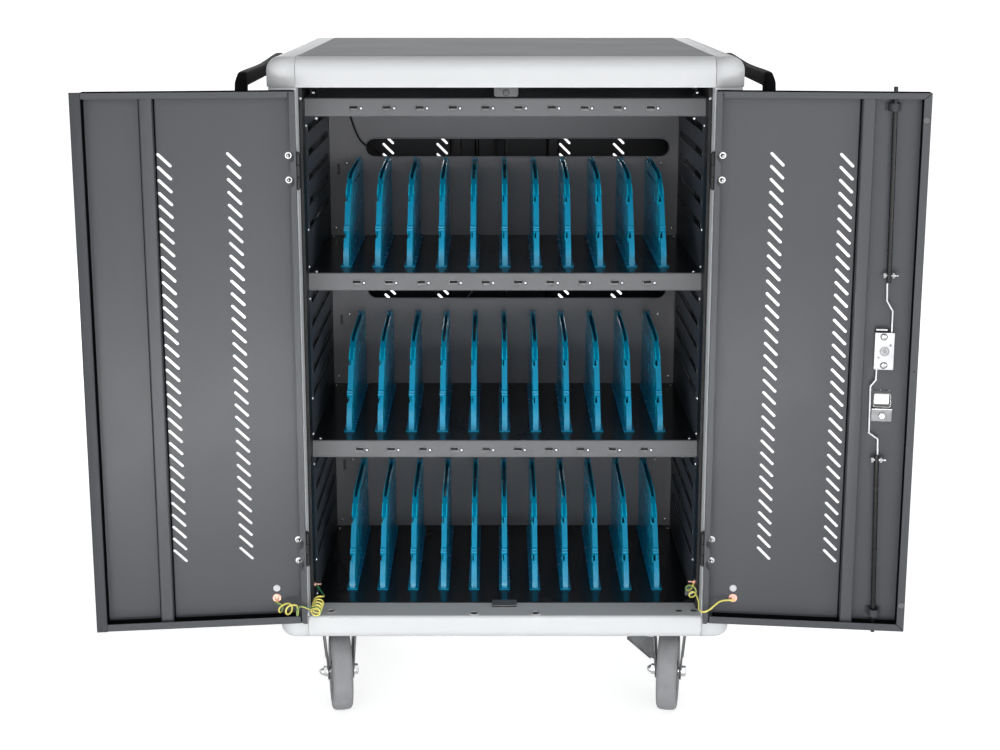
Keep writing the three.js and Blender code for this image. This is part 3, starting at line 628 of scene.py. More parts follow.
def capParts(wallZ, edgeZ, frontR, rearR):
    # the plan's outer line moved in by t as the height turns over: t = r(1 - cos a), z = edge - r + r sin a
    x0, x1, y1, r = shell["seam"] + shell["gap"], shell["halfWidth"], shell["depth"], shell["corner"]
    steps = 14
    line = np.vstack(([x0, 0], arcOf(x1 - r, r, r, -90, 0, steps), arcOf(x1 - r, y1 - r, r, 0, 90, steps),
                      [x0, y1]))
    inward = np.vstack(([0, 1], -arcOf(0, 0, 1, -90, 0, steps), -arcOf(0, 0, 1, 0, 90, steps), [0, -1]))
    turn = np.concatenate((np.full(steps + 2, frontR), np.linspace(frontR, rearR, steps + 1), [rearR]))
    a = np.concatenate(([0], np.radians(np.linspace(0, 90, 13))))[:, None]
    inset = turn * (1 - np.cos(a))
    rise = np.sign(edgeZ - wallZ)
    z = edgeZ - rise * turn * (1 - np.sin(a))
    z[0] = wallZ
    plan = line[None] + inset[..., None] * inward[None]
    points = np.dstack((plan, z))
    rows, cols = points.shape[:2]
    lid = list(range((rows - 1) * cols, rows * cols))
    return [(points.reshape(-1, 3), gridFaces(rows, cols) + [lid])]


def rodHoles():
    return [circleOf(x, shell["rodY"], shell["rodHoleR"], 24)
            for x in (-shell["rodHoleX"], shell["rodHoleX"])]


def topRailParts(depth, edge):
    # the face turns over at the top and in at the foot, where the return is pierced for the bolt rod
    top, foot, t = shell["height"], shell["railZ"], shell["sheet"]
    outline = np.vstack(([depth, top], arcOf(edge, top - edge, edge, 90, 180, 14), [0, foot], [t, foot],
                         arcOf(edge, top - edge, edge - t, 180, 90, 14), [depth, top - t]))
    turned = prismOf(rectOf(railSpan, (t, shell["railReturn"])), "z", (foot, foot + t), rodHoles())
    return [prismOf(outline, "x", railSpan), turned]


def sillParts():
    # the outside turns over at the sill and under at its foot, and the top flange is pierced for the bolts
    t, top, foot, edge, turn = (shell[key] for key in ("sheet", "sillZ", "baseZ", "sillEdge", "baseEdge"))
    low, high, back = foot + turn, top - edge, shell["railReturn"]
    face = np.vstack(([edge, top], arcOf(edge, high, edge, 90, 180, 6),
                      arcOf(turn, low, turn, 180, 270, 12), [back, foot], [back, foot + t],
                      arcOf(turn, low, turn - t, 270, 180, 12), arcOf(edge, high, edge - t, 180, 90, 6)))
    holes = [*rodHoles(), circleOf(*shell["tieHole"], 20)]
    holes += [circleOf(x, shell["sillScrewY"], shell["sillScrewR"], 20) for x in shell["sillScrewX"]]
    flange = prismOf(rectOf(railSpan, (edge, shell["railDepth"])), "z", (top - t, top), holes)
    return [prismOf(face, "x", railSpan), flange]


sillTrim = dict(bush=(8.2, 5.6, 0.8), tieRim=1.6, tieRise=0.5, screw=(3.0, 1.6), screwDrop=2.4,
                well=((5.4, 0), (5.0, -0.6), (5.0, -2.4), (0, -2.5), (0, -3.4), (5.8, -3.4), (5.8, 0.1),
                      (5.4, 0)))
catchPlan = dict(x=(-19.0, 18.0), y=(34.0, 54.0), z=(0.2, 3.2), r=0.8)
topSheetPlan = dict(sideGap=1.0, frontGap=0.6, rearGap=0.2, z=(0.02, 0.6))


def makeSillTrim():
    # bushes round the rod and tie holes, and screws sunk in wells
    p, z, (tieX, tieY, tieR) = sillTrim, shell["sillZ"], shell["tieHole"]
    bushes = [washerOf((x, shell["rodY"], z), (0, 0, 1), *p["bush"])
              for x in (-shell["rodHoleX"], shell["rodHoleX"])]
    bushes.append(washerOf((tieX, tieY, z), (0, 0, 1), tieR + p["tieRim"], tieR, p["tieRise"]))
    spots = [(x, shell["sillScrewY"]) for x in shell["sillScrewX"]]
    screws = [screwOf((*spot, z - p["screwDrop"]), (0, 0, 1), *p["screw"]) for spot in spots]
    wells = [turnedOf(p["well"], (*spot, z), (0, 0, 1), 20) for spot in spots]
    for end, place in bothEnds:
        makePiece(f"sill_bushes_{end}", bushes, capPlastic, place=place)
        makePiece(f"sill_screws_{end}", screws, wornZinc, place=place)
        makePiece(f"sill_wells_{end}", wells, hingeBlack, place=place)


def makeShell():
    topCap = capParts(shell["railZ"], shell["height"], shell["topEdge"], shell["topRearEdge"])
    baseCap = capParts(shell["sillZ"], shell["baseZ"], shell["baseEdge"], shell["baseEdge"])
    for side, place in bothSides:
        makePiece(f"top_cap_{side}", topCap, lightPaint, stands=f"top_end_cap_{side}",
                  place=place, wall=shell["capWall"])
        makePiece(f"base_cap_{side}", baseCap, lightPaint,
                  stands=f"base_end_cap_{side}", place=place, wall=shell["capWall"])
    front = topRailParts(shell["railDepth"], shell["topEdge"])
    rear = topRailParts(shell["rearRailDepth"], shell["topRearEdge"])
    makePiece("top_rail_front", front, lightPaint, stands="top_front_rail")
    makePiece("top_rail_rear", rear, lightPaint, stands="top_rear_rail", place=toRear)
    makePiece("sill_front", sillParts(), lightPaint, stands="base_front_rail")
    makePiece("sill_rear", sillParts(), lightPaint, stands="base_rear_rail",
              place=toRear)
    makeSillTrim()
    p = catchPlan
    tab = [boxOf(p["x"], p["y"], raised(p["z"], shell["sillZ"]), p["r"])]
    makePiece("floor_catch", tab, lipPaint, bevel=0.4)
    p = topSheetPlan
    sheet = [boxOf((p["sideGap"] - shell["seam"], shell["seam"] - p["sideGap"]),
                   (shell["topEdge"] + p["frontGap"], shell["railDepth"] - p["rearGap"]),
                   raised(p["z"], shell["height"]))]
    makePiece("top_sheet_front", sheet, panelPaint)


makeShell()
print("shell made")

# Posts with their hinges

postPlan = dict(x=(291.5, 333.0), y=(1.5, 60.0), endGap=0.3, corner=22.0)
stopPlan = dict(x=286.5, y=25.0, gap=0.05, endGap=(1.8, 0.5), bead=(1.4, 2.5, 3.6), beadR=1.1)
hingePlan = dict(z=(854.0, 294.0), leaf=50.0, r=4.0, chamfer=0.5, knuckle=16.4, gap=0.4, pin=2.6,
                 headH=(1.2, 2.0), strapX=(0.6, 5.0), strapY=(-2.2, 0.1), plateX=(4.6, 20.0),
                 plateY=(-0.5, 1.6), plateR=1.0, moveX=(0.6, 6.0), moveY=(-2.2, 0.9))
lugPlan = dict(x=(275.5, 285.8), y=(66.0, 67.5), z=(191.0, 204.0), r=0.6)
earthBoltPlan = dict(x=286.4, y=41.0, right=224.0, left=220.0, washer=(4.6, 1.5, 0.8),
                     shape=((0, 0), (3.2, 0), (3.2, 2.2), (1.4, 2.8), (1.4, 9.5), (0.8, 10), (0, 10)))
hingeAt = toCart(joints["front_right_swing"]["pos_m"])


def postParts():
    # a square post with its outer corner rounded
    (x0, x1), (y0, y1), r = (postPlan[key] for key in ("x", "y", "corner"))
    outline = np.vstack(([x0, y0], arcOf(x1 - r, y0 + r, r, -90, 0, 14), [x1, y1], [x0, y1]))
    return [prismOf(outline, "z", (shell["sillZ"] + postPlan["endGap"],
                                   shell["railZ"] - postPlan["endGap"]))]


def stopParts():
    # the dark door stop along the inner side of the post, with a rubber bead on its front
    p = stopPlan
    x, y, (low, middle, high) = p["x"], p["y"], p["bead"]
    z = (shell["sillZ"] + p["endGap"][0], shell["railZ"] - p["endGap"][1])
    bead = np.vstack((arcOf(x + middle, y, p["beadR"], 180, 360, 8), [x + high, y + 1], [x + low, y + 1]))
    return [prismOf(rectOf((x, postPlan["x"][0] - p["gap"]), (y, postPlan["y"][1])), "z", z),
            prismOf(bead, "z", z)]


def knuckleOf(z, high):
    r, c = hingePlan["r"], hingePlan["chamfer"]
    span = [(0, 0), (r - c, 0), (r, c), (r, high - c), (r - c, high), (0, high)]
    return turnedOf(span, (hingeAt[0], hingeAt[1], z - high / 2), (0, 0, 1), 20)


def fixedHingeParts():
    # the outer knuckles, their leaf on the post and the pin heads
    p, parts, (x, y) = hingePlan, [], hingeAt[:2]
    neck, crown = p["headH"]
    head = [(0, -1), (p["pin"], -1), (p["pin"], neck), (p["pin"] - 1, crown), (0, crown)]
    for z in p["z"]:
        parts.append(boxOf(x + np.array(p["plateX"]), p["plateY"], around(z, p["leaf"]), p["plateR"]))
        for end in (-1, 1):
            middle = z + end * (p["knuckle"] + p["gap"])
            parts.append(knuckleOf(middle, p["knuckle"]))
            parts.append(boxOf(x + np.array(p["strapX"]), p["strapY"], around(middle, p["knuckle"])))
            tip = z + end * (1.5 * p["knuckle"] + p["gap"])
            parts.append(turnedOf(head, (x, y, tip), (0, 0, end), 14))
    return parts


def makePosts():
    corners = (("front", "right", toFrame), ("front", "left", toLeft), ("rear", "right", toRear),
               ("rear", "left", toRearLeft))
    for end, side, place in corners:
        makePiece(f"{end}_corner_post_{side}", postParts(), lightPaint,
                  stands=f"{end}_post_{side}", place=place, bevel=0.8)
        makePiece(f"{end}_door_stop_{side}", stopParts(), hingeBlack, place=place)
        makePiece(f"{end}_fixed_hinges_{side}", fixedHingeParts(), hingeBlack,
                  place=place)
    lug = [boxOf(*(lugPlan[key] for key in ("x", "y", "z", "r")))]
    makePiece("floor_lug", lug, lipPaint, bevel=0.3)
    p = earthBoltPlan
    for side, place in bothSides:
        at = (p["x"], p["y"], p[side])
        bolt = [turnedOf(p["shape"], at, (-1, 0, 0), 14), washerOf(at, (-1, 0, 0), *p["washer"])]
        makePiece(f"earth_bolt_{side}", bolt, copper, place=place)


makePosts()
print("posts and fixed hinges made")

# Walls inside the cabinet

wallPlan = dict(x=spanOf("inner_back_panel")[1][0], y=spanOf("inner_back_panel")[0][1], t=1.5,
                z=(spanOf("inner_back_panel")[0][2], spanOf("inner_back_panel")[1][2]),
                holeX=(-212.5, 256.5), holeR=15.5, holeZ=(842.0, 604.0, 366.0), flange=24.0, slotRise=110.0,
                linerSlotY=(78.0, 345.0), linerSlot=11.0, linerRises=(59.0, 94.5, 130.0, 166.0, 202.0),
                linerRim=0.9, linerRimOff=0.1, rim=1.3, rimOff=0.4, beadX=(-232.0, 276.0), beadY=(-1.0, 0.2),
                beadRise=(19.5, 21.5), beadR=0.9, slotX=-272.0, slot=(4.5, 18.0), flangeY=(-1.2, -0.1),
                shadowY=(-0.09, -0.05), rightFlange=12.0)
wallScrewPlan = dict(back=((258.0, 120.0), (278.0, 12.0)), floor=(281.0, 358.0), side=(286.4, 66.0),
                     sideRises=(7.0, 62.0, 214.0), small=(2.8, 1.6), broad=(3.0, 2.0))
shelfZ = [spanOf(name)[1][2] for name in ("shelf_upper", "shelf_middle")]
trayZ = 950.8
floorZ = spanOf("base_floor")[1][2]
bayFloors = {"upper": shelfZ[0], "middle": shelfZ[1], "lower": floorZ}


def obroundOf(u, v, r, steps=12):
    return np.vstack((arcOf(u[1], v, r, -90, 90, steps), arcOf(u[0], v, r, 90, 270, steps)))


def linerParts():
    # a sheet pierced by long round-ended slots, each with its edge rolled towards the bay
    low, high = spanOf("side_liner_right")
    r = wallPlan["linerSlot"] / 2
    y = (wallPlan["linerSlotY"][0] + r, wallPlan["linerSlotY"][1] - r)
    loops = [obroundOf(y, z + rise + r, r, 6) for z in bayFloors.values()
             for rise in wallPlan["linerRises"]]
    parts = [prismOf(rectOf((low[1], high[1]), (low[2], high[2])), "x", (low[0], high[0]), loops)]
    for loop in loops:
        rim = np.column_stack((np.full(len(loop), low[0] - wallPlan["linerRimOff"]), loop))
        parts.append(tubeOf(np.vstack((rim, rim[:2])), wallPlan["linerRim"], 6))
    return parts


def backWallParts():
    # a sheet with three long openings, each with a rolled edge and a pressed bead above it
    p, y, wide = wallPlan, wallPlan["y"], (-wallPlan["x"], wallPlan["x"])
    holes = [obroundOf(p["holeX"], z, p["holeR"]) for z in p["holeZ"]]
    parts = [prismOf(rectOf(wide, p["z"]), "y", (y, y + p["t"]), holes)]
    for loop in holes:
        rim = np.column_stack((loop[:, 0], np.full(len(loop), y - p["rimOff"]), loop[:, 1]))
        parts.append(tubeOf(np.vstack((rim, rim[:2])), p["rim"], 8))
    beads = [boxOf(p["beadX"], raised(p["beadY"], y), raised(p["beadRise"], z), p["beadR"])
             for z in p["holeZ"]]
    return parts + beads


def wallScrews():
    p, y, screws = wallScrewPlan, wallPlan["y"] + wallPlan["flangeY"][0], []
    floorX, floorY = p["floor"]
    sideX, sideY = p["side"]
    for z in bayFloors.values():
        screws += [screwOf((side * x, y, z + rise), (0, -1, 0), *p["small"])
                   for side in (-1, 1) for x, rise in p["back"]]
        screws += [screwOf((side * floorX, floorY, z), (0, 0, 1), *p["broad"]) for side in (-1, 1)]
        screws += [screwOf((side * sideX, sideY, z + rise), (-side, 0, 0), *p["small"])
                   for side in (-1, 1) for rise in p["sideRises"]]
    return screws


def makeWalls():
    p, wide = wallPlan, wallPlan["x"]
    makePiece("back_wall", backWallParts(), wallPaint, stands="inner_back_panel")
    slotX = around(p["slotX"], p["slot"][0])
    slotZ = [around(z + p["slotRise"], p["slot"][1]) for z in bayFloors.values()]
    inner, y = wide - p["flange"], raised(p["flangeY"], p["y"])
    flanges = [prismOf(rectOf((-wide, -inner), p["z"]), "y", y, [rectOf(slotX, z) for z in slotZ]),
               prismOf(rectOf((inner + p["rightFlange"], wide), p["z"]), "y", y)]
    makePiece("back_wall_flanges", flanges, wallPaint)
    # painted shade: a black sheet just behind each flange slot, standing in for the dark inside it
    shadows = [boxOf(slotX, raised(p["shadowY"], p["y"]), z) for z in slotZ]
    makePiece("back_wall_slot_shade", shadows, hingeBlack)
    makePiece("wall_screws", wallScrews(), brightSteel)
    for side, place in bothSides:
        makePiece(f"bay_liner_{side}", linerParts(), linerPaint,
                  stands=f"side_liner_{side}", place=place)


makeWalls()
print("walls made")

# Shelves, tray and their port strips

shelfPlan = dict(lipY=54.0, lip=26.5, fold=14.0, sheet=1.5, bend=2.2, x=286.2)
portPlan = dict(count=10, first=-216.4, pitch=47.1, drop=14.4, w=12.8, h=7.0, rim=0.5, gap=1.0, r=0.9,
                innerR=0.6, shellY=(-0.5, 10.0), tongueIn=2.4, tongueY=(0.2, 9.5), tongueZ=(-2.7, -0.9),
                lampOff=10.6, lampR=1.4, lampDrop=0.4, ringR=2.6, ringH=0.5, stripX=236.0,
                stripY=(10.2, 38.0), stripZ=(-22.0, -4.0), blockIn=1.2, blockY=(9.6, 10.4))
tabPlan = dict(x=(-16.0, 18.5), turn=4.0, footGap=1.8, headGap=0.3, d=(-0.4, 1.5), screwAt=(1.2, 958.5),
               screw=(4.0, 1.4), ring=(5.0, 3.9, 0.5))
shelfScrewPlan = dict(deck=(276.0, 10.0), deckSize=(3.0, 1.8), tray=(275.0, 9.0, 7.0),
                      under=(272.0, 12.0, -3.5), traySize=(2.8, 1.8), stop=(288.4, 24.2, 2.0),
                      stopSize=(2.2, 1.4))
portX = portPlan["first"] + portPlan["pitch"] * np.arange(portPlan["count"])


def lipParts(z):
    # the front of the fold, pierced for the ports and lamps, with a rounded bend above and a return below
    p, q, t, r = shelfPlan, portPlan, shelfPlan["sheet"], shelfPlan["bend"]
    low, x = z - p["lip"], (-p["x"], p["x"])
    face, middle = p["lipY"], z - q["drop"]
    holes = [roundRect(around(px, q["w"] + q["gap"]), around(middle, q["h"] + q["gap"]), q["r"], 2)
             for px in portX]
    holes += [circleOf(px + q["lampOff"], middle - q["lampDrop"], q["lampR"] + 0.4, 12) for px in portX]
    bend = np.vstack((arcOf(face + r, z - r, r, 90, 180, 6), arcOf(face + r, z - r, r - t, 180, 90, 6)))
    under = np.vstack((arcOf(face + r, low + r, r, 180, 270, 6), [face + p["fold"], low],
                       [face + p["fold"], low + t], arcOf(face + r, low + r, r - t, 270, 180, 6)))
    front = prismOf(rectOf(x, (low + r, z - r)), "y", (face, face + t), holes)
    return [front, prismOf(bend, "x", x), prismOf(under, "x", x)]


def deckParts(z):
    return [boxOf((-shelfPlan["x"], shelfPlan["x"]),
                  (shelfPlan["lipY"] + shelfPlan["bend"], wallPlan["y"] - 0.3),
                  (z - shelfPlan["sheet"], z))]


def portParts(z):
    # a thin pressed shell round each socket, the pale tongue low in it, and a lamp in a dark ring beside it
    p, y, middle = portPlan, shelfPlan["lipY"], z - portPlan["drop"]
    lens = [(0, -3), (p["lampR"], -3), (p["lampR"], 0.5), (0.8, 1.1), (0, 1.2)]
    shells, tongues, lamps, rings = [], [], [], []
    for px in portX:
        outer = roundRect(around(px, p["w"]), around(middle, p["h"]), p["r"], 2)
        inner = roundRect(around(px, p["w"] - 2 * p["rim"]), around(middle, p["h"] - 2 * p["rim"]),
                          p["innerR"], 2)
        shells.append(prismOf(outer, "y", raised(p["shellY"], y), [inner]))
        tongues.append(boxOf(around(px, p["w"] - p["tongueIn"]), raised(p["tongueY"], y),
                             raised(p["tongueZ"], middle)))
        lampAt = (px + p["lampOff"], y, middle - p["lampDrop"])
        lamps.append(turnedOf(lens, lampAt, (0, -1, 0), 12))
        rings.append(washerOf(lampAt, (0, -1, 0), p["ringR"], p["lampR"] + 0.1, p["ringH"]))
    return shells, tongues, lamps, rings


def stripParts(z):
    # the board's housing behind the lip, with a block behind each socket
    p, y, middle = portPlan, shelfPlan["lipY"], z - portPlan["drop"]
    strip = boxOf((-p["stripX"], p["stripX"]), raised(p["stripY"], y), raised(p["stripZ"], z), 1.5)
    blocks = [boxOf(around(px, p["w"] - p["blockIn"]), raised(p["blockY"], y),
                    around(middle, p["h"] - p["blockIn"])) for px in portX]
    return [strip, *blocks]


def makeShelf(bay, z, node, deckFinish):
    makePiece(f"{node}_deck", deckParts(z), deckFinish, stands=node)
    makePiece(f"{node}_lip", lipParts(z), lipPaint)
    shells, tongues, lamps, rings = portParts(z)
    makePiece(f"port_shells_{bay}", shells, wornZinc)
    makePiece(f"port_tongues_{bay}", tongues, hubPlastic)
    makePiece(f"port_lamps_{bay}", lamps, lampGlow)
    makePiece(f"port_lamp_rings_{bay}", rings, hingeBlack)
    makePiece(f"port_strip_{bay}", stripParts(z), blackPlastic,
              stands=f"port_hub_{bay}")


def makeTrayTab():
    # the tab that closes the gap over the tray, with a screw in a dark ring
    p, y, (x0, x1), r = tabPlan, shelfPlan["lipY"], tabPlan["x"], tabPlan["turn"]
    low, high = trayZ + p["footGap"], shell["railZ"] - p["headGap"]
    outline = np.vstack((arcOf(x0 + r, low + r, r, 180, 270, 6), arcOf(x1 - r, low + r, r, 270, 360, 6),
                         [x1, high], [x0, high]))
    head = (p["screwAt"][0], y + p["d"][0], p["screwAt"][1])
    tab = [prismOf(outline, "y", raised(p["d"], y))]
    makePiece("tray_tab", tab, lipPaint, bevel=0.4)
    ring = [washerOf(head, (0, -1, 0), *p["ring"])]
    makePiece("tray_tab_ring", ring, hingeBlack)
    makePiece("tray_tab_screw", [screwOf(head, (0, -1, 0), *p["screw"])], lipPaint)


def shelfScrews():
    p, y = shelfScrewPlan, shelfPlan["lipY"]
    deckX, deckY = p["deck"]
    screws = [screwOf((side * deckX, y + deckY, z), (0, 0, 1), *p["deckSize"]) for z in shelfZ
              for side in (-1, 1)]
    for (x, inward, lift), z in ((p["tray"], trayZ), (p["under"], trayZ - shelfPlan["lip"])):
        screws += [screwOf((side * x, y + inward, z + lift), (0, -1, 0), *p["traySize"])
                   for side in (-1, 1)]
    x, stopY, lift = p["stop"]
    return screws + [screwOf((side * x, stopY, trayZ + lift), (0, -1, 0), *p["stopSize"])
                     for side in (-1, 1)]


def makeShelves():
    makeShelf("upper", trayZ, "top_tray", linerPaint)
    makeShelf("middle", shelfZ[0], "shelf_upper", blackEnamel)
    makeShelf("lower", shelfZ[1], "shelf_middle", blackEnamel)
    makeTrayTab()
    makePiece("shelf_screws", shelfScrews(), brightSteel)


makeShelves()
print("shelves and ports made")

# Dividers

dividerPlan = dict(count=11, pitch=47.1, half=4.0, wall=1.6, foot=8.2, footT=2.2, footR=2.0,
                   footEnds=(-2.0, 1.0), y=(96.0, 362.0), knee=(98.0, 21.0), shoulder=(153.0, 106.0),
                   brow=(189.0, 126.0), ridge=((230.0, 128.5), (318.0, 130.4)), crest=(336.0, 131.0),
                   tail=8.0, tailDrop=2.0, notches=((41.0, 49.0), (91.0, 98.0)), notchDeep=20.0, cut=-0.8,
                   clip=(49.4, 58.0), clipOut=0.5, stripTop=121.0, stripSkin=(0.5, 1.6), window=(4.4, 18.0),
                   windowPitch=(40.0, 34.0), windowRows=3, windowEnds=(30.0, 12.0), windowFoot=22.0,
                   windowStep=4.0, margin=7.0, rearTop=119.0,
                   ties=(((120.0, 340.0), (28.0, 30.0)), ((200.0, 340.0), (110.0, 112.0))), seat=0.3)
prongPlan = dict(y=328.0, sink=2.5, tall=7.0, foot=1.2, lean=2.6, half=(4.5, 0.8), r=0.5)
rackBar = dict(x=(-246.0, 246.0), y=(215.0, 245.0), z=(-4.3, -2.3))


def slopeAt(h):
    # the point of the front edge at height h, and the way into the plate there
    p = dividerPlan
    edge = np.array([(p["y"][0], 0.0), p["knee"], p["shoulder"], p["brow"]])
    run = edge[2:] - edge[1:-1]
    along = run[1 if h > p["shoulder"][1] else 0]
    along = along / np.linalg.norm(along)
    return np.array([np.interp(h, edge[:, 1], edge[:, 0]), h]), np.array([along[1], -along[0]])


def edgeHeight(y):
    p = dividerPlan
    ys, hs = zip(p["knee"], p["shoulder"], p["brow"], p["crest"])
    return np.interp(y, ys, hs)


def plateOutline(notched):
    p = dividerPlan
    front = [np.array([p["y"][0], 0.0]), np.array(p["knee"])]
    for low, high in p["notches"] if notched else ():
        (a, inward), (b, _) = slopeAt(low), slopeAt(high)
        front += [a, a + inward * p["notchDeep"], b + inward * p["notchDeep"], b]
    rear, top, r = p["y"][1], p["crest"][1], p["tail"]
    tail = arcOf(rear - r, top - r - p["tailDrop"], r, 90, 0, 5)
    return np.vstack((front, p["shoulder"], p["brow"], p["ridge"], tail, [rear, 0]))


def windowLoops():
    # upright slits on a grid, kept clear of the edge of the plate
    p = dividerPlan
    (w, tall), (across, upward) = p["window"], p["windowPitch"]
    first, last = p["y"][0] + p["windowEnds"][0], p["y"][1] - p["windowEnds"][1]
    loops = []
    for col, y in enumerate(np.arange(first, last, across)):
        for row in range(p["windowRows"]):
            h = p["windowFoot"] + upward * row + (p["windowStep"] if col % 2 else 0)
            if h + tall / 2 < edgeHeight(y - w) - p["margin"]:
                loops.append(np.vstack((arcOf(y, h + tall / 2 - w / 2, w / 2, 0, 180, 3),
                                        arcOf(y, h - tall / 2 + w / 2, w / 2, 180, 360, 3))))
    return loops


def stripOf():
    # the closed front edge: four corners at each station (height, left corner, how proud) up the slope,
    # with the left corner cut back at a notch and ribs at the clip
    p = dividerPlan
    left, cut, clipLeft = -p["half"], p["cut"], -p["half"] - p["clipOut"]
    (low, high), (low2, high2) = p["notches"]
    a, b = p["clip"]
    rib = (b - a) / 5
    stations = [(0.0, left, 0.0), (p["knee"][1], left, 0.0), (low, left, 0.0), (low, cut, 0.0),
                (high, cut, 0.0)]
    stations += [(high, clipLeft, 0.2)]
    stations += [(a + rib * k, clipLeft, 0.9 if k % 2 == 0 else 0.3) for k in range(6)]
    stations += [(b + 0.4, left, 0.0), (low2 - 3, left, 0.0), (low2, cut, 0.0), (high2, cut, 0.0),
                 (high2, left, 0.3), (p["stripTop"] - 4, left, 0.3), (p["stripTop"], left + 1.2, -0.6)]
    skinOut, skinIn = p["stripSkin"]
    points = []
    for h, corner, proud in stations:
        edge, inward = slopeAt(h)
        outer, inner = edge - inward * (skinOut + proud), edge + inward * skinIn
        right = p["half"] if corner <= left else p["half"] - 0.05
        points += [(corner, *outer), (right, *outer), (right, *inner), (corner, *inner)]
    rows = len(stations)
    lids = [[0, 1, 2, 3], list(range(rows * 4 - 4, rows * 4))]
    return np.array(points), gridFaces(rows, 4, wrapCols=True) + lids


def prongParts():
    # two horns at the rear of the crest: x = side (foot + lean u^2), height = crest - sink + tall u
    p, u = prongPlan, np.linspace(0, 1, 6)
    w, t = p["half"]
    height = dividerPlan["crest"][1] - p["sink"] + p["tall"] * u
    parts = []
    for side in (-1, 1):
        path = np.column_stack((side * (p["foot"] + p["lean"] * u ** 2), np.full(6, p["y"]), height))
        parts.append(sweepOf(roundRect((-w, w), (-t, t), p["r"], 2), path))
    return parts


def dividerParts():
    # two pierced walls, then the closed front strip, foot, rear strip, ties and horns, about x = 0, z = 0
    p = dividerPlan
    windows = windowLoops()
    x, (front, rear), (frontEnd, rearEnd) = p["half"], p["y"], p["footEnds"]
    foot = roundRect((-p["foot"], p["foot"]), (front + frontEnd, rear + rearEnd), p["footR"], 3)
    walls = [prismOf(plateOutline(True), "x", (-x, p["wall"] - x), windows),
             prismOf(plateOutline(False), "x", (x - p["wall"], x), windows)]
    ties = [boxOf((-x, x), y, z) for y, z in p["ties"]]
    rearStrip = boxOf((-x - 0.4, x + 0.4), (rear - 1.2, rear + 0.6), (0, p["rearTop"]), 0.8)
    rest = [stripOf(), prismOf(foot, "z", (0.0, p["footT"])), rearStrip, *ties, *prongParts()]
    return walls, rest


def makeDividers():
    p = dividerPlan
    walls, rest = dividerParts()
    for bay, z in bayFloors.items():
        wallParts, parts = [], [boxOf(rackBar["x"], rackBar["y"], raised(rackBar["z"], z))]
        for i in range(p["count"]):
            shift = np.array([(i - (p["count"] - 1) / 2) * p["pitch"], 0, z + p["seat"]])
            wallParts += [(np.asarray(verts) + shift, faces) for verts, faces in walls]
            parts += [(np.asarray(verts) + shift, faces) for verts, faces in rest]
        makePiece(f"dividers_{bay}", parts, bluePlastic, stands=f"divider_rack_{bay}")
        # painted light: the walls are the same plastic as the rest, drawn lighter for the light on their
        # sides
        makePiece(f"divider_walls_{bay}", wallParts, blueLitCopy)


makeDividers()
print("dividers made")

# Side grips

gripPlan = dict(x=(371.5, 385.0), y=(70.0, 490.0), leg=22.0, underZ=(965.0, 966.0), topZ=(986.0, 991.0),
                dip=3.2, footZ=(892.0, 914.0), flare=6.0, flareZ=964.0, legRise=30.0, nearTurn=13.0,
                farTurn=24.0, innerTurn=5.0, square=0.42, sides=32, plate=12.0, plateT=4.0,
                screw=(3.0, 1.6), screwOff=3.6)


def gripOutline():
    # the bar's upper and lower edges from foot to foot, in y and z: top = z0 + rise u - dip sin(pi u)^2
    p, u = gripPlan, np.linspace(0, 1, 20)[1:-1]
    (y0, y1), (z0, z1), (under0, under1) = p["y"], p["topZ"], p["underZ"]
    near, far, turn, leg, foot = (p[key] for key in ("nearTurn", "farTurn", "innerTurn", "leg", "footZ"))
    foot, knee = foot[0], foot[0] + p["legRise"]
    top = np.column_stack((y0 + near + (y1 - y0 - (near + far)) * u,
                           z0 + (z1 - z0) * u - p["dip"] * np.sin(np.pi * u) ** 2))
    outer = np.vstack(([y0, foot], [y0, knee], arcOf(y0 + near, z0 - near, near, 180, 90, 8), top,
                       arcOf(y1 - far, z1 - far, far, 90, 0, 10), [y1, knee], [y1, foot]))
    under = np.column_stack((np.linspace(y0 + leg + turn, y1 - leg - turn, 20)[1:-1],
                             np.interp(u, (0, 1), p["underZ"])))
    inner = np.vstack(([y0 + leg, foot], [y0 + leg, knee],
                       arcOf(y0 + leg + turn, under0 - turn, turn, 180, 90, 8), under,
                       arcOf(y1 - leg - turn, under1 - turn, turn, 90, 0, 10), [y1 - leg, knee],
                       [y1 - leg, foot]))
    return outer, inner


def gripParts():
    # a rounded square section between the two edges, flared at the near leg, on two feet with back plates
    p, (outer, inner) = gripPlan, gripOutline()
    (x0, x1), (y0, y1), leg, (foot, footTop) = p["x"], p["y"], p["leg"], p["footZ"]
    drop = np.clip((p["topZ"][0] - outer[:, 1]) / (p["topZ"][0] - p["flareZ"]), 0, 1)
    nearEnd = outer[:, 0] < (y0 + y1) / 2
    out = x1 + p["flare"] * drop * nearEnd
    t = np.linspace(0, 2 * np.pi, p["sides"], endpoint=False)
    side = np.sign(np.cos(t)) * abs(np.cos(t)) ** p["square"]
    lift = np.sign(np.sin(t)) * abs(np.sin(t)) ** p["square"]
    middleX, halfX = (x0 + out) / 2, (out - x0) / 2
    middle, half = (outer + inner) / 2, (outer - inner) / 2
    yz = middle[:, None] + half[:, None] * lift[None, :, None]
    points = np.dstack((middleX[:, None] + halfX[:, None] * side[None], yz))
    rows, cols = points.shape[:2]
    lids = [list(range(cols)), list(range((rows - 1) * cols, rows * cols))]
    parts = [(points.reshape(-1, 3), gridFaces(rows, cols, wrapCols=True) + lids)]
    panel = spanOf("side_panel_right")[1][0]
    for y in (y0 + leg / 2, y1 - leg / 2):
        parts.append(prismOf(roundRect(around(y, leg - 1), p["footZ"], 6, 6), "x", (panel + 0.3, x0 + 6)))
        parts.append(prismOf(roundRect(around(y, leg + p["plate"]), (foot - 7, footTop + 7), 9, 6), "x",
                             (panel + 0.2, panel + p["plateT"])))
    return parts


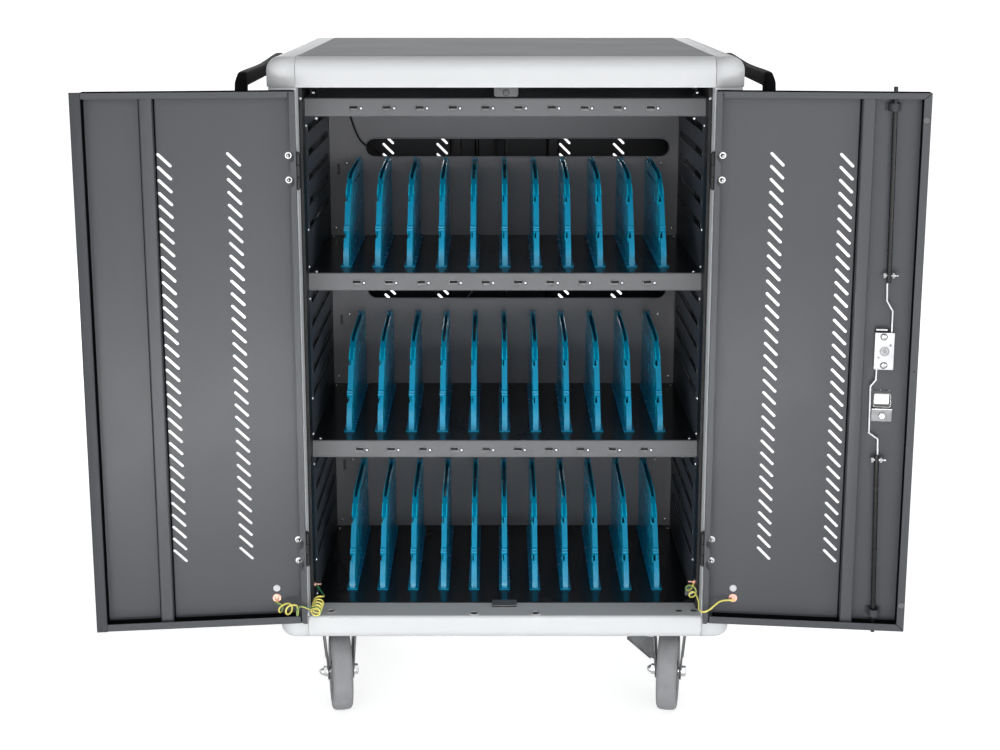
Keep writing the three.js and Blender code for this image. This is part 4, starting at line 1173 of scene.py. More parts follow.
def makeGrips():
    p, panel = gripPlan, spanOf("side_panel_right")[1][0]
    heads = [screwOf((panel + p["plateT"], y, z), (1, 0, 0), *p["screw"])
             for y in (p["y"][0] + p["leg"] / 2, p["y"][1] - p["leg"] / 2)
             for z in (p["footZ"][0] - p["screwOff"], p["footZ"][1] + p["screwOff"])]
    for side, place in bothSides:
        makePiece(f"grip_bar_{side}", gripParts(), gripPlastic,
                  stands=f"side_handle_{side}", place=place)
        makePiece(f"grip_screws_{side}", heads, wornZinc, place=place)


makeGrips()
print("grips made")

# Door leaves, in leaf coordinates: s from the hinge axis to the free edge, d in from the front face, z up

leafPlan = dict(s=(1.4, 290.2), d=(0.5, 22.5), z=(189.0, 967.0), skin=1.2, bend=1.8, seamIn=5.0,
                seamLap=0.02, lipHinge=8.0, lipTop=8.4, lipFoot=10.5, lipFree=10.4, lipZ=(187.6, 966.4),
                lipEnd=4.0, lipBack=1.3, relief=1.8, mitre=0.5, ventS=(88.0, 183.0), ventTop=872.0,
                ventPitch=18.1, ventCount=33, ventLong=27.0, ventWide=4.0, fingerS=(234.9, 258.7),
                fingerZ=(519.5, 539.0), fingerR=2.0, nutS=12.5, nutZ=(279.0, 311.6, 842.2, 876.6),
                notchR=8.6, stripS=304.0, stripD=(22.8, 24.0), stripZ=(189.0, 968.0))
# where the black painted-shade strips lie on the leaf
paintedShadePlan = dict(gap=0.05, under=0.1, wall=0.5, wallGap=0.6, shadeSheet=(0.02, 0.9), lockedIn=0.4, plainIn=0.8,
                endIn=2.0, ribEndIn=9.0, ribGap=0.2, ribFar=2.2, footS=16.0, footGap=0.3, footZ=(1.4, 8.6),
                headS=(2.5, 1.0), headD=2.0, headZ=(0.02, 0.5))
leafTrim = dict(nutWasher=(4.6, 3.0, 1.0), nut=(3.5, 6.0), studs=((284.2, 930.0), (284.8, 229.0)),
                stud=(4.4, 0.24), studRing=(5.2, 4.5, 0.12), mark=(285.0, 578.4), markSize=(1.5, 0.12),
                plug=(45.5, 237.0), plugShape=((0, 0), (5.2, 0), (5.2, 1.2), (4.4, 2.0), (0, 2.2)),
                ring=(45.7, 221.5), ringR=6.2, ringHole=1.6, ringH=0.9, ringScrew=(3.0, 2.2))
ribPlan = dict(plain=(195.0, 213.0), locked=(199.5, 217.0), web=15.0, t=1.5, r=2.5, turned=5.5, foot=0.1,
               endIn=2.0)
openAngle = math.radians(-joints["front_right_swing"]["range_deg"][0])
skinFace = leafPlan["d"][0] + leafPlan["skin"]


def leafPlace(end, side):
    # shut leaf to cart: x = hinge - s, y = d, then swung about the hinge at the front
    def placed(points):
        points = np.asarray(points, float)
        x, y = hingeAt[0] - points[:, 0], points[:, 1].copy()
        if end == "front":
            dx, dy = x - hingeAt[0], y - hingeAt[1]
            x = hingeAt[0] + math.cos(openAngle) * dx - math.sin(openAngle) * dy
            y = hingeAt[1] + math.sin(openAngle) * dx + math.cos(openAngle) * dy
        else:
            y = shell["depth"] - y
        return toFrame(np.column_stack((x if side == "right" else -x, y, points[:, 2])))
    return placed


def ventLoops(slant):
    # round-ended slots at 45 degrees; slant is +1 where they rise away from the hinge
    p = leafPlan
    r, half = p["ventWide"] / 2, (p["ventLong"] - p["ventWide"]) / 2
    slot = np.vstack((arcOf(half, 0, r, -90, 90, 5), arcOf(-half, 0, r, 90, 270, 5)))
    turned = np.column_stack((slot[:, 0] - slot[:, 1], slot[:, 0] + slot[:, 1])) / math.sqrt(2)
    turned[:, 0] *= slant
    rows = p["ventTop"] - p["ventPitch"] * np.arange(p["ventCount"])
    return [turned + (s, z) for s in p["ventS"] for z in rows]


def rimParts(seamIn):
    # the turned-in wall: a profile of inset and depth carried round the rectangle with mitred corners
    p = leafPlan
    (d0, d1), t, r = p["d"], p["skin"], p["bend"]
    profile = np.vstack(([seamIn, d0], arcOf(r, d0 + r, r, 270, 180, 5), [0, d1 - t], [t, d1 - t],
                         arcOf(r, d0 + r, r - t, 180, 270, 4), [seamIn, d0 + t]))
    inset, depth = profile.T
    (s0, s1), (z0, z1) = p["s"], p["z"]
    corners = ((s0 + inset, z0 + inset), (s1 - inset, z0 + inset), (s1 - inset, z1 - inset),
               (s0 + inset, z1 - inset))
    rings = [np.column_stack((s, depth, z)) for s, z in corners]
    return np.vstack(rings), gridFaces(4, len(profile), wrapRows=True, wrapCols=True)


def skinParts(slant, locked):
    p = leafPlan
    i = p["seamIn"]
    holes = ventLoops(slant)
    if locked:
        holes.append(roundRect(p["fingerS"], p["fingerZ"], p["fingerR"], 3))
    outline = rectOf((p["s"][0] + i, p["s"][1] - i), (p["z"][0] + i, p["z"][1] - i))
    return [prismOf(outline, "y", (p["d"][0], skinFace), holes), rimParts(i - p["seamLap"])]


def hingeLip():
    # a strip along the hinge with a round lower end, cut away in a circle round each nut
    p = leafPlan
    s0, s1 = p["s"][0], p["s"][0] + p["lipHinge"]
    low, high = p["lipZ"]
    lean = math.degrees(math.acos((s1 - p["nutS"]) / p["notchR"]))
    notches = [arcOf(p["nutS"], z, p["notchR"], 360 - lean, lean, 14) for z in p["nutZ"]]
    end = arcOf(s1 - p["lipEnd"], low + p["lipEnd"], p["lipEnd"], 270, 360, 6)
    return np.vstack(([s0, low], end, *notches, [s1, high], [s0, high]))


def lipLoops(locked):
    # the four folds that face the bay, with mitred corners at the free edge where the leaf has a fold there
    p = leafPlan
    (z0, z1), gap = p["z"], p["mitre"]
    start, end = p["s"][0] + p["lipHinge"] + p["relief"], p["s"][1]
    foot, top = z0 + p["lipFoot"], z1 - p["lipTop"]
    if not locked:
        across = (start, end - p["lipBack"])
        return [hingeLip(), rectOf(across, (z0, foot)), rectOf(across, (top, z1))]
    inner = end - p["lipFree"]
    return [hingeLip(), np.array([(start, z0), (end - gap, z0), (inner - gap, foot), (start, foot)]),
            np.array([(start, top), (inner - gap, top), (end - gap, z1), (start, z1)]),
            np.array([(end, z0 + gap), (end, z1 - gap), (inner, top - gap), (inner, foot + gap)])]


def lipSheets(locked):
    p = leafPlan
    return [prismOf(loop, "y", (p["d"][1] - p["skin"], p["d"][1])) for loop in lipLoops(locked)]


def coverStripParts():
    # an angle on the free edge that laps over the other leaf
    p = leafPlan
    edge, tip, (low, high), back = p["s"][1], p["stripS"], p["stripD"], p["d"][1] - p["skin"]
    profile = np.vstack(([edge - p["skin"], back], [edge, back], [edge, low], [tip - 0.5, low],
                         arcOf(tip - 0.6, low + 0.6, 0.6, -60, 60, 4), [tip - 0.5, high],
                         arcOf(edge - 0.2, high - 1.0, 1.0, 90, 180, 4)))
    return [prismOf(profile, "z", p["stripZ"])]


def ribParts(kind):
    # an open channel: a web, a side down to the skin and, on the hinge side, a short turned edge
    p = ribPlan
    (a, b), t, r, high = p[kind], p["t"], p["r"], p["web"]
    foot, lip, bend = skinFace + p["foot"], high - p["turned"], high - r
    section = np.vstack(([b, foot], arcOf(b - r, bend, r, 0, 90, 5), arcOf(a + r, bend, r, 90, 180, 5),
                         [a, lip], [a + t, lip], arcOf(a + r, bend, r - t, 180, 90, 5),
                         arcOf(b - r, bend, r - t, 90, 0, 5), [b - t, foot]))
    return [prismOf(section, "z", (leafPlan["z"][0] + p["endIn"], leafPlan["z"][1] - p["endIn"]))]


def paintedShadeParts(locked):
    # painted shade: black strips standing in for the shadow inside the wall at the free edge and the foot,
    # beside the channel and on the head
    p, q, (z0, z1) = leafPlan, paintedShadePlan, leafPlan["z"]
    edge, shadeSheet = p["s"][1], raised(q["shadeSheet"], skinFace)
    inner, high = edge - p["skin"] - q["gap"], p["d"][1] - p["skin"] - q["under"]
    side = edge - p["lipFree"] + q["lockedIn"] if locked else inner - q["plainIn"]
    a, b = ribPlan["locked" if locked else "plain"]
    tall, beside = (z0 + q["endIn"], z1 - q["endIn"]), (z0 + q["ribEndIn"], z1 - q["ribEndIn"])
    parts = [boxOf((inner - q["wall"], inner), (shadeSheet[0], high), tall),
             boxOf((side, inner - q["wallGap"]), shadeSheet, tall),
             boxOf((q["footS"], side - q["footGap"]), shadeSheet, raised(q["footZ"], z0)),
             boxOf((a - q["ribFar"], a - q["ribGap"]), shadeSheet, beside),
             boxOf((q["headS"][0], edge - q["headS"][1]), (q["headD"], high), raised(q["headZ"], z1))]
    return parts if locked else [*parts, boxOf((b + q["ribGap"], b + q["ribFar"]), shadeSheet, beside)]


def movingHingeParts():
    # the middle knuckles, with x turned into s, and a strap from each to the leaf
    p, parts = hingePlan, []
    for z in p["z"]:
        verts, faces = knuckleOf(z, p["knuckle"])
        parts.append((np.column_stack((hingeAt[0] - verts[:, 0], verts[:, 1], verts[:, 2])), faces))
        parts.append(boxOf(p["moveX"], p["moveY"], around(z, p["knuckle"])))
    return parts


def hingeNutParts():
    # a dome nut on a broad washer at each hinge bolt
    s, p, parts = leafPlan["nutS"], leafTrim, []
    for z in leafPlan["nutZ"]:
        parts.append(washerOf((s, skinFace, z), (0, 1, 0), *p["nutWasher"]))
        parts += acornOf((s, skinFace + p["nutWasher"][2], z), (0, 1, 0), *p["nut"])
    return parts


def discOf(s, d, z, r, h):
    return turnedOf([(0, 0), (r, 0), (r, 0.6 * h), (r - 0.4 * h, h), (0, h)], (s, d, z), (0, 1, 0), 24)


def makeLipMarks(end, side, body, place):
    # two studs in dark rings and a small dark hole on the fold of the locked leaf
    p, face = leafTrim, leafPlan["d"][1]
    studs = [discOf(s, face, z, *p["stud"]) for s, z in p["studs"]]
    makePiece(f"{end}_lip_studs_{side}", studs, lipPaint, body, (), place)
    rings = [washerOf((s, face, z), (0, 1, 0), *p["studRing"]) for s, z in p["studs"]]
    rings.append(discOf(p["mark"][0], face, p["mark"][1], *p["markSize"]))
    makePiece(f"{end}_lip_marks_{side}", rings, hingeBlack, body, (), place)


def makeEarthEnd(side, body, place):
    # a pale plug in the skin, and the two ring ends of the earth wire under a screw
    p, (plugS, plugZ), (s, z) = leafTrim, leafTrim["plug"], leafTrim["ring"]
    plug = [turnedOf(p["plugShape"], (plugS, skinFace, plugZ), (0, 1, 0), 24)]
    makePiece(f"door_plug_{side}", plug, capPlastic, body, (), place)
    lift = p["ringH"]
    rings = [washerOf((s, skinFace + k, z), (0, 1, 0), p["ringR"] - k, p["ringHole"], lift)
             for k in (0.0, lift)]
    rings.append(screwOf((s, skinFace + 2 * lift, z), (0, 1, 0), *p["ringScrew"]))
    makePiece(f"door_ring_{side}", rings, copper, body, (), place)


def makeLeaf(end, side):
    locked = (end, side) in (("front", "right"), ("rear", "left"))
    body, place = f"{end}_{side}_door", leafPlace(end, side)
    makePiece(f"{end}_leaf_{side}", skinParts(-1 if locked else 1, locked), greyPaint, body,
              f"{end}_door_{side}", place)
    # painted shade: the rear leaves' lips take the dark strip paint, standing in for the shade they lie in
    lipFinish = greyPaint if end == "front" else stripPaint
    makePiece(f"{end}_leaf_lips_{side}", lipSheets(locked), lipFinish, body, (), place,
              bevel=0.4)
    if not locked:
        makePiece(f"{end}_lap_strip_{side}", coverStripParts(), stripPaint, body, (), place)
    rib = ribParts("locked" if locked else "plain")
    stands = f"front_stiffener_{side}" if end == "front" else ()
    makePiece(f"{end}_rib_{side}", rib, greyPaint, body, stands, place)
    # painted shade: black strips where the leaf's walls and channel throw shadow on the skin
    makePiece(f"{end}_painted_shade_{side}", paintedShadeParts(locked), paintedShadeFinish, body, (), place)
    makePiece(f"{end}_moving_hinges_{side}", movingHingeParts(), hingeBlack, body, (),
              place)
    makePiece(f"{end}_hinge_nuts_{side}", hingeNutParts(), brightSteel, body, (), place)
    if locked:
        makeLipMarks(end, side, body, place)
    if end == "front":
        makeEarthEnd(side, body, place)


for doorEnd in ("front", "rear"):
    for doorSide in ("left", "right"):
        makeLeaf(doorEnd, doorSide)
print("door leaves made")

# Locks, in leaf coordinates

lockPlan = dict(s=246.5, spindleZ=603.0, dishZ=(494.0, 634.0), dishW=31.0, dishR=9.0, dishD=(-12.0, -0.2),
                coverS=(230.7, 257.5), coverZ=(578.0, 631.3), coverD=(14.0, 15.5), coverWall=1.6,
                barS=(232.0, 247.8), barZ=(633.8, 636.0), barTop=13.0, clampS=(231.9, 260.6),
                clampZ=(499.4, 518.6), clampRise=3.0, flangeT=1.5, flangeRise=6.0, leverZ=(545.0, 612.0),
                rodD=13.0, rodR=3.4, tipR=3.0, linkD=(6.0, 13.0), linkHalf=1.0,
                upperRod=((246.0, 702.0), (242.6, 975.0)), lowerRod=((241.2, 452.0), (247.6, 183.0)),
                upperLink=((253.4, 606), (253.4, 662), (244.9, 676.5), (243.5, 716)),
                lowerLink=((235, 600), (235, 562), (227.8, 553), (228.8, 484.3), (241.5, 475.5), (243, 432)),
                upperPin=713.0, lowerPin=444.6, upperGuide=(242.0, 947.0), lowerGuide=(247.4, 213.0))
lockTrim = dict(screws=((242.8, 625.4), (244.2, 584.4)), screw=(4.0, 2.4), screwRing=(5.0, 4.1, 0.3),
                nutZ=508.0, nut=(5.2, 4.5), pegS=(231.3, 243.4, 255.9), pegZ=544.5, peg=(1.1, 0.9),
                lineS=(231.0, 257.0), lineZ=(543.8, 545.2), lineH=0.4, boss=(244.4, 604.5),
                bossRing=(7.0, 4.6, 0.7), bossNut=(3.6, 1.6), bossScrew=(1.6, 0.8), bossScrewOff=(8.0, 9.0),
                holeIn=0.6, rim=0.8)
camPlan = dict(stem=((0, -13.1), (5.6, -13.1), (5.6, 12), (0, 12)), w=22.0, d=(2.4, 5.4), h=10.0, r=3.0,
               nut=(6.4, 5.0))
leverPlan = dict(back=-12.9, face=-15.4, bow=6.0, half=6.0, belly=3.6, square=0.6, rows=22, sides=24)
rodPlan = dict(chamfer=0.6, neck=(9.0, 7.5), tipChamfer=0.8)
pinPlan = dict(nutS=4.6, nut=(3.8, 3.6), dome=(4.2, 5.6), tailS=9.8, shankS=-4.7,
               tail=((0, 0), (1.7, 0), (1.7, 3.0), (0, 3.2)), shank=((0, 0), (1.8, 0), (1.8, 9.4), (0, 9.4)))
guidePlan = dict(foot=11.0, footIn=7.4, outerR=7.0, innerR=5.4, sheet=1.4, long=11.0)


def ribbonOf(points, half, d):
    # a flat bar bent through (s, z) points: each corner moved out along the mean normal of its two runs
    p = np.asarray(points, float)
    run = np.diff(p, axis=0)
    run /= np.linalg.norm(run, axis=1)[:, None]
    normal = np.column_stack((-run[:, 1], run[:, 0]))
    joint = np.vstack((normal[:1], normal[:-1] + normal[1:], normal[-1:]))
    joint /= np.linalg.norm(joint, axis=1)[:, None]
    lean = np.concatenate(([1], (joint[1:-1] * normal[1:]).sum(1), [1]))
    offset = joint * (half / lean)[:, None]
    return prismOf(np.vstack((p + offset, (p - offset)[::-1])), "y", d)


def rodParts(ends):
    # a round bar from its eye to a narrower stub that enters the frame
    (s0, z0), (s1, z1) = ends
    p, r, tip = rodPlan, lockPlan["rodR"], lockPlan["tipR"]
    (start, stop), cut, tipCut = p["neck"], p["chamfer"], p["tipChamfer"]
    long = math.hypot(s1 - s0, z1 - z0)
    profile = [(0, 0), (r - cut, 0), (r, cut), (r, long - start), (tip, long - stop), (tip, long - tipCut),
               (tip - tipCut, long), (0, long)]
    return [turnedOf(profile, (s0, lockPlan["rodD"], z0), (s1 - s0, 0, z1 - z0), 20)]


def guideParts(s, z):
    # a folded bracket on the skin that holds the rod
    p, d = guidePlan, lockPlan["rodD"]
    low, high, foot, footIn, r = skinFace, skinFace + p["sheet"], p["foot"], p["footIn"], p["innerR"]
    arch = np.vstack(([s - foot, low], [s - foot, high], [s - footIn, high],
                      arcOf(s, d, p["outerR"], 180, 0, 10), [s + footIn, high], [s + foot, high],
                      [s + foot, low], [s + r, low], arcOf(s, d, r, 0, 180, 10), [s - r, low]))
    return [prismOf(arch, "z", around(z, p["long"]))]


def pinParts(s, z):
    # the bolt that joins a link to its rod: a plain nut at one end, a dome nut and thread tail at the other
    p, d = pinPlan, lockPlan["rodD"]
    return [nutOf((s - p["nutS"], d, z), (-1, 0, 0), *p["nut"]),
            *acornOf((s + p["nutS"], d, z), (1, 0, 0), *p["dome"]),
            turnedOf(p["tail"], (s + p["tailS"], d, z), (1, 0, 0), 10),
            turnedOf(p["shank"], (s + p["shankS"], d, z), (1, 0, 0), 10)]


def dishParts():
    # the outer dish with a finger hole
    p, (s0, s1), (z0, z1), i = lockPlan, leafPlan["fingerS"], leafPlan["fingerZ"], lockTrim["holeIn"]
    finger = roundRect((s0 + i, s1 - i), (z0 + i, z1 - i), leafPlan["fingerR"], 3)
    return [prismOf(roundRect(around(p["s"], p["dishW"]), p["dishZ"], p["dishR"], 6), "y", p["dishD"],
                    [finger])]


def leverParts():
    # the swing lever: a bar whose face bows out, d = face - bow sin(pi (0.12 + 0.8 u))^0.6
    p, (tip, root), rows, sides = leverPlan, lockPlan["leverZ"], leverPlan["rows"], leverPlan["sides"]
    u = np.linspace(0, 1, rows)
    z = tip + (root - tip) * u
    out = p["face"] - p["bow"] * np.sin(np.pi * (0.12 + 0.8 * u)) ** 0.6
    half = p["half"] + p["belly"] * np.sin(np.pi * (0.2 + 0.75 * u))
    t = np.linspace(0, 2 * np.pi, sides, endpoint=False)
    across, deep = (np.sign(wave) * abs(wave) ** p["square"] for wave in (np.cos(t), np.sin(t)))
    centre, thick = (out + p["back"]) / 2, (p["back"] - out) / 2
    points = np.stack((lockPlan["s"] + half[:, None] * across, centre[:, None] + thick[:, None] * deep,
                       z[:, None] + 0 * t), -1)
    lids = [list(range(sides)), list(range((rows - 1) * sides, rows * sides))]
    return [(points.reshape(-1, 3), gridFaces(rows, sides, wrapCols=True) + lids)]


def fingerRimOf():
    # a bright edge round the finger hole
    p = leafPlan
    loop = roundRect(p["fingerS"], p["fingerZ"], p["fingerR"], 4)
    path = np.column_stack((loop[:, 0], np.full(len(loop), skinFace + 0.2), loop[:, 1]))
    return tubeOf(np.vstack((path, path[:2])), lockTrim["rim"], 6)


def makeLockPlates(end, door, place):
    # the dish outside, and the cover and clamp inside
    p, (low, high) = lockPlan, lockPlan["coverD"]
    s0, s1 = p["coverS"]
    makePiece(f"{end}_lock_dish", dishParts(), blackPlastic, door, f"{end}_lock_housing",
              place, bevel=1.2)
    cover = [prismOf(roundRect(p["coverS"], p["coverZ"], 1.5, 3), "y", (low, high))]
    cover += [boxOf(span, (skinFace, low + 0.2), p["coverZ"])
              for span in ((s0, s0 + p["coverWall"]), (s1 - p["coverWall"], s1))]
    cover.append(boxOf(p["barS"], (skinFace, p["barTop"]), p["barZ"]))
    makePiece(f"{end}_lock_cover", cover, zincPlate, door, (), place, bevel=0.4)
    clamp = [boxOf(p["clampS"], (skinFace, skinFace + p["clampRise"]), p["clampZ"], 1.0)]
    makePiece(f"{end}_lock_clamp", clamp, wornZinc, door, (), place, bevel=0.4)
    top = p["clampZ"][1]
    # painted highlight: the clamp's top flange is drawn in bright steel, lighter than the worn zinc of its
    # plate, for the light its top edge catches
    flange = [boxOf(p["clampS"], (skinFace, skinFace + p["flangeRise"]), (top - p["flangeT"], top))]
    makePiece(f"{end}_clamp_flange", flange, brightSteel, door, (), place, bevel=0.3)


def makeLockTrim(end, door, place):
    # screws, pegs, the boss on the cover, dark rings and a dark line, and the guides of the rods
    p, face, (bossS, bossZ) = lockTrim, lockPlan["coverD"][1], lockTrim["boss"]
    heads = [screwOf((s, face, z), (0, 1, 0), *p["screw"]) for s, z in p["screws"]]
    heads += [nutOf((lockPlan["s"], skinFace + lockPlan["clampRise"], p["nutZ"]), (0, 1, 0), *p["nut"]),
              fingerRimOf()]
    heads += [screwOf((s, skinFace, p["pegZ"]), (0, 1, 0), *p["peg"]) for s in p["pegS"]]
    makePiece(f"{end}_lock_screws", heads, brightSteel, door, (), place)
    boss = [washerOf((bossS, face, bossZ), (0, 1, 0), *p["bossRing"]),
            nutOf((bossS, face, bossZ), (0, 1, 0), *p["bossNut"])]
    ds, dz = p["bossScrewOff"]
    boss += [screwOf((bossS + k * ds, face, bossZ + k * dz), (0, 1, 0), *p["bossScrew"]) for k in (-1, 1)]
    makePiece(f"{end}_lock_boss", boss, wornZinc, door, (), place)
    marks = [washerOf((s, face, z), (0, 1, 0), *p["screwRing"]) for s, z in p["screws"]]
    marks.append(boxOf(p["lineS"], (skinFace, skinFace + p["lineH"]), p["lineZ"]))
    makePiece(f"{end}_lock_marks", marks, hingeBlack, door, (), place)
    guides = guideParts(*lockPlan["upperGuide"]) + guideParts(*lockPlan["lowerGuide"])
    # the guides are dark partly in their own colour and partly as painted shade for the dark outline round
    # them
    makePiece(f"{end}_rod_guides", guides, stripPaint, door, (), place, bevel=0.4)


def makeLock(end, side):
    p, c, place = lockPlan, camPlan, leafPlace(end, side)
    door, s, z = f"{end}_{side}_door", lockPlan["s"], lockPlan["spindleZ"]
    makeLockPlates(end, door, place)
    makeLockTrim(end, door, place)
    spindle = [turnedOf(c["stem"], (s, 0, z), (0, 1, 0), 20),
               boxOf(around(s, c["w"]), c["d"], around(z, c["h"]), c["r"]),
               nutOf((s, c["d"][1], z), (0, 1, 0), *c["nut"])]
    makePiece(f"{end}_lock_spindle", spindle, brightSteel, f"{end}_lock_spindle",
              f"{end}_lock_cam", place)
    makePiece(f"{end}_swing_lever", leverParts(), blackPlastic, f"{end}_lever",
              f"{end}_lock_lever", place)
    for reach in ("upper", "lower"):
        body, ends, pin = f"{end}_{reach}_bolt", p[f"{reach}Rod"], p[f"{reach}Pin"]
        makePiece(f"{end}_{reach}_bar", rodParts(ends), rodPaint, body, f"{end}_{reach}_rod",
                  place)
        pinS = np.interp(pin, *zip(*sorted((z, s) for s, z in ends)))
        link = [ribbonOf(p[f"{reach}Link"], p["linkHalf"], p["linkD"])]
        makePiece(f"{end}_{reach}_link", link, zincPlate, body, (), place)
        makePiece(f"{end}_{reach}_pin", pinParts(pinS, pin), brightSteel, body, (), place)


makeLock("front", "right")
makeLock("rear", "left")
print("locks made")

# Casters

wheelPlan = dict(r=60.0, w=31.0, shoulder=7.0, crown=0.5, rim=44.0, web=12.0, boss=15.0, spokes=8,
                 spokeX=(5.6, 11.5), spokeT=1.6,
                 bearing=((5.1, 15.2), (7.0, 15.2), (7.0, -15.2), (5.1, -15.2), (5.1, 15.2)))
forkPlan = dict(x=17.0, t=3.0, trail=21.0, axleZ=60.0, crownZ=(128.0, 137.7), crownR=34.0, topZ=134.0,
                splay=6.0, eyeR=13.5, ribT=1.4, axleR=4.9, washer=(9.0, 5.0, 1.4), spacerX=15.7,
                spacer=(8.0, 5.1, 1.2), domeNut=(8.0, 12.0), nut=(8.2, 6.0))
platePlan = dict(boltX=24.0, boltY=38.0, boltZ=149.0, bolt=(6.5, 5.0),
                 race=((33.4, 138.4), (36.0, 139.5), (36.0, 146), (33.4, 148), (33.4, 138.4)))
pedalPlan = dict(y=(-17.0, -14.0), flangeY=(-17.0, -2.0),
                 face=((0, 110), (0, 74), (-6, 76), (-40, 106), (-40, 110)),
                 flange=((-6, 76), (-40, 106), (-41.5, 104), (-6, 73)))


def tyreProfile():
    # a crowned tread with round shoulders, and side walls down to the rim: radius and height along the axle
    p = wheelPlan
    h, r, k = p["w"] / 2, p["r"], p["shoulder"]
    a = np.linspace(np.pi / 2, 0, 7)
    tread = np.column_stack((r - p["crown"] * np.linspace(-1, 1, 9) ** 2, np.linspace(k - h, h - k, 9)))
    low = np.column_stack((r - p["crown"] - k * (1 - np.cos(a)), k - h - k * np.sin(a)))
    wall = [(p["rim"] + 3, h - 0.6), (p["rim"], h - 2.5)]
    back = [(p["rim"], 2.5 - h), (p["rim"] + 3, 0.6 - h)]
    return np.vstack((back, low, tread[1:-1], low[::-1] * (1, -1), wall, back[:1]))


def coreProfile():
    # the moulded centre: rim band, dished web and a boss
    p = wheelPlan
    h = p["w"] / 2
    half = [(p["boss"] - 8, h - 0.5), (p["boss"], h - 0.5), (p["boss"] + 1.5, h - 3),
            (p["boss"] + 2, p["web"] / 2), (p["rim"] - 6, p["web"] / 2), (p["rim"] - 4.5, h - 4.5),
            (p["rim"] - 0.2, h - 3.5)]
    return np.array(half + [(r, -z) for r, z in half[::-1]] + half[:1])


def casterSpots():
    for end in ("front", "rear"):
        for side in ("left", "right"):
            roll, swivel = joints[f"{end}_{side}_roll"], joints[f"{end}_{side}_swivel"]
            yield end, side, np.array(roll["axis"]), toCart(swivel["pos_m"])


def casterPlace(axis, swivel):
    # caster coordinates: x along the axle, y from the trail to the swivel, the swivel axis at the origin
    forward = np.array([-axis[1], axis[0], 0])

    def placed(points):
        points = np.asarray(points, float)
        base = np.array([swivel[0], swivel[1], 0])
        flat = points[:, :1] * axis + points[:, 1:2] * forward
        return toFrame(base + flat + points[:, 2:] * np.array([0, 0, 1]))
    return placed


def splayed(part, side):
    # the legs lean out as they rise: x moved by splay (z - axle) / (top - axle)
    points = np.array(part[0], float)
    rise = (points[:, 2] - forkPlan["axleZ"]) / (forkPlan["topZ"] - forkPlan["axleZ"])
    points[:, 0] += side * forkPlan["splay"] * np.clip(rise, 0, 1)
    return points, part[1]


def forkParts():
    # two pressed legs with a stiffening rib under a round crown
    p = forkPlan
    y, z, parts = -p["trail"], p["axleZ"], []
    leg = np.vstack(([30, p["topZ"]], [30, 122], [16, 104], arcOf(y, z, p["eyeR"], -20, -180, 14),
                     [y - 10, 100], [y - 8, p["topZ"]]))
    rib = np.vstack(([24, 130], [24, 122], [9, 103], [-9, 76], [-15, 80], [3, 108], [14, 124], [14, 130]))
    for side in (-1, 1):
        outer = side * (p["x"] + p["t"])
        parts.append(splayed(prismOf(leg, "x", (side * p["x"], outer)), side))
        parts.append(splayed(prismOf(rib, "x", (outer, outer + side * p["ribT"])), side))
    low, high = p["crownZ"]
    dome = [(0, low), (p["crownR"] - 3, low), (p["crownR"], low + 3), (p["crownR"], high - 2),
            (p["crownR"] - 2, high), (0, high)]
    return [*parts, turnedOf(dome, (0, 0, 0), (0, 0, 1), 40)]


def axleParts():
    p = forkPlan
    y, z, r, out = -p["trail"], p["axleZ"], p["axleR"], p["x"] + p["t"]
    bolt = turnedOf([(0, -out - 1), (r, -out - 1), (r, out + 1), (0, out + 1)], (0, y, z), (1, 0, 0), 20)
    washers = [washerOf((side * out, y, z), (side, 0, 0), *p["washer"]) for side in (-1, 1)]
    spacers = [washerOf((side * p["spacerX"], y, z), (side, 0, 0), *p["spacer"]) for side in (-1, 1)]
    seat = out + p["washer"][2]
    return [bolt, *washers, *spacers, *acornOf((-seat, y, z), (-1, 0, 0), *p["domeNut"]),
            nutOf((seat, y, z), (1, 0, 0), *p["nut"])]


def spokeParts():
    # short radial ribs on both faces of the web
    p, parts, t = wheelPlan, [], wheelPlan["spokeT"]
    near, far = p["spokeX"]
    for i in range(p["spokes"]):
        a = 2 * math.pi * i / p["spokes"]
        turn = np.array([[1, 0, 0], [0, math.cos(a), math.sin(a)], [0, -math.sin(a), math.cos(a)]])
        for side in (-1, 1):
            rib = rectOf(sorted((side * near, side * far)), (p["boss"] + 1, p["rim"] - 5))
            verts, faces = prismOf(rib, "y", (-t, t))
            parts.append((verts @ turn, faces))
    return parts


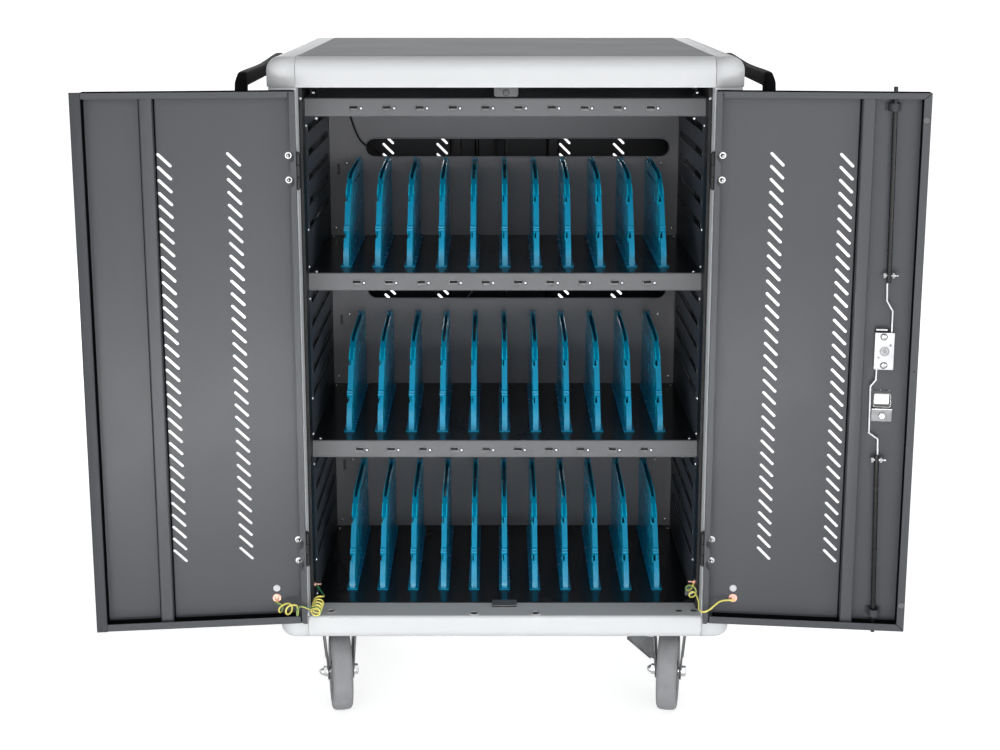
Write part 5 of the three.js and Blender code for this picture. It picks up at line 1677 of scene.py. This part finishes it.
def makeCasters():
    hub = (0, -forkPlan["trail"], forkPlan["axleZ"])
    for end, side, axis, swivel in casterSpots():
        place = casterPlace(axis, swivel)
        tag, fork, wheel = f"{end}_{side}", f"{end}_{side}_fork", f"{end}_{side}_wheel"
        makePiece(f"tyre_{tag}", [turnedOf(tyreProfile(), hub, (1, 0, 0), 96)], tyreRubber, wheel,
                  f"caster_wheel_{tag}", place)
        core = [turnedOf(coreProfile(), hub, (1, 0, 0), 64)]
        core += [(np.asarray(verts) + hub, faces) for verts, faces in spokeParts()]
        makePiece(f"wheel_core_{tag}", core, hubPlastic, wheel, (), place)
        bearing = [turnedOf(wheelPlan["bearing"], hub, (1, 0, 0), 24)]
        makePiece(f"wheel_bearing_{tag}", bearing, brightSteel, wheel, (), place)
        makePiece(f"fork_{tag}", forkParts(), forkZinc, fork, f"caster_fork_{tag}", place,
                  bevel=0.8)
        makePiece(f"axle_{tag}", axleParts(), brightSteel, fork, (), place)


def pedalParts():
    # a triangular pressing with its long edge turned to the rear, leaning like the leg beside it
    p, leg = pedalPlan, (-forkPlan["x"] - forkPlan["t"] - 1, 0)
    face, flange = (np.array(p[key], float) + leg for key in ("face", "flange"))
    return [splayed(prismOf(face, "y", p["y"]), -1), splayed(prismOf(flange, "y", p["flangeY"]), -1)]


def makeBrakeAndRaces():
    p, spots = platePlan, {(end, side): (axis, swivel) for end, side, axis, swivel in casterSpots()}
    makePiece("brake_pressing", pedalParts(), forkZinc, "brake", "caster_brake_pedal",
              casterPlace(*spots["front", "right"]), bevel=0.9)
    bolts, races = [], []
    for _, (x, y, _) in spots.values():
        bolts += [nutOf((x + dx, y + dy, p["boltZ"]), (0, 0, -1), *p["bolt"])
                  for dx in (-p["boltX"], p["boltX"]) for dy in (-p["boltY"], p["boltY"])]
        races.append(turnedOf(p["race"], (x, y, 0), (0, 0, 1), 40))
    makePiece("plate_bolts", bolts, brightSteel)
    makePiece("swivel_races", races, zincPlate)


makeCasters()
makeBrakeAndRaces()
print("casters made")

# Finishes of the CAD nodes that stay

keptFinish = {"top_panel": panelPaint, "base_floor": blackEnamel, "side_panel_left": greyPaint,
              "side_panel_right": greyPaint, "power_unit": blackPlastic, "base_pan": zincPlate}
for nodeName, finish in keptFinish.items():
    nodes[nodeName].data.materials.clear()
    nodes[nodeName].data.materials.append(finish)
print("kept nodes painted")
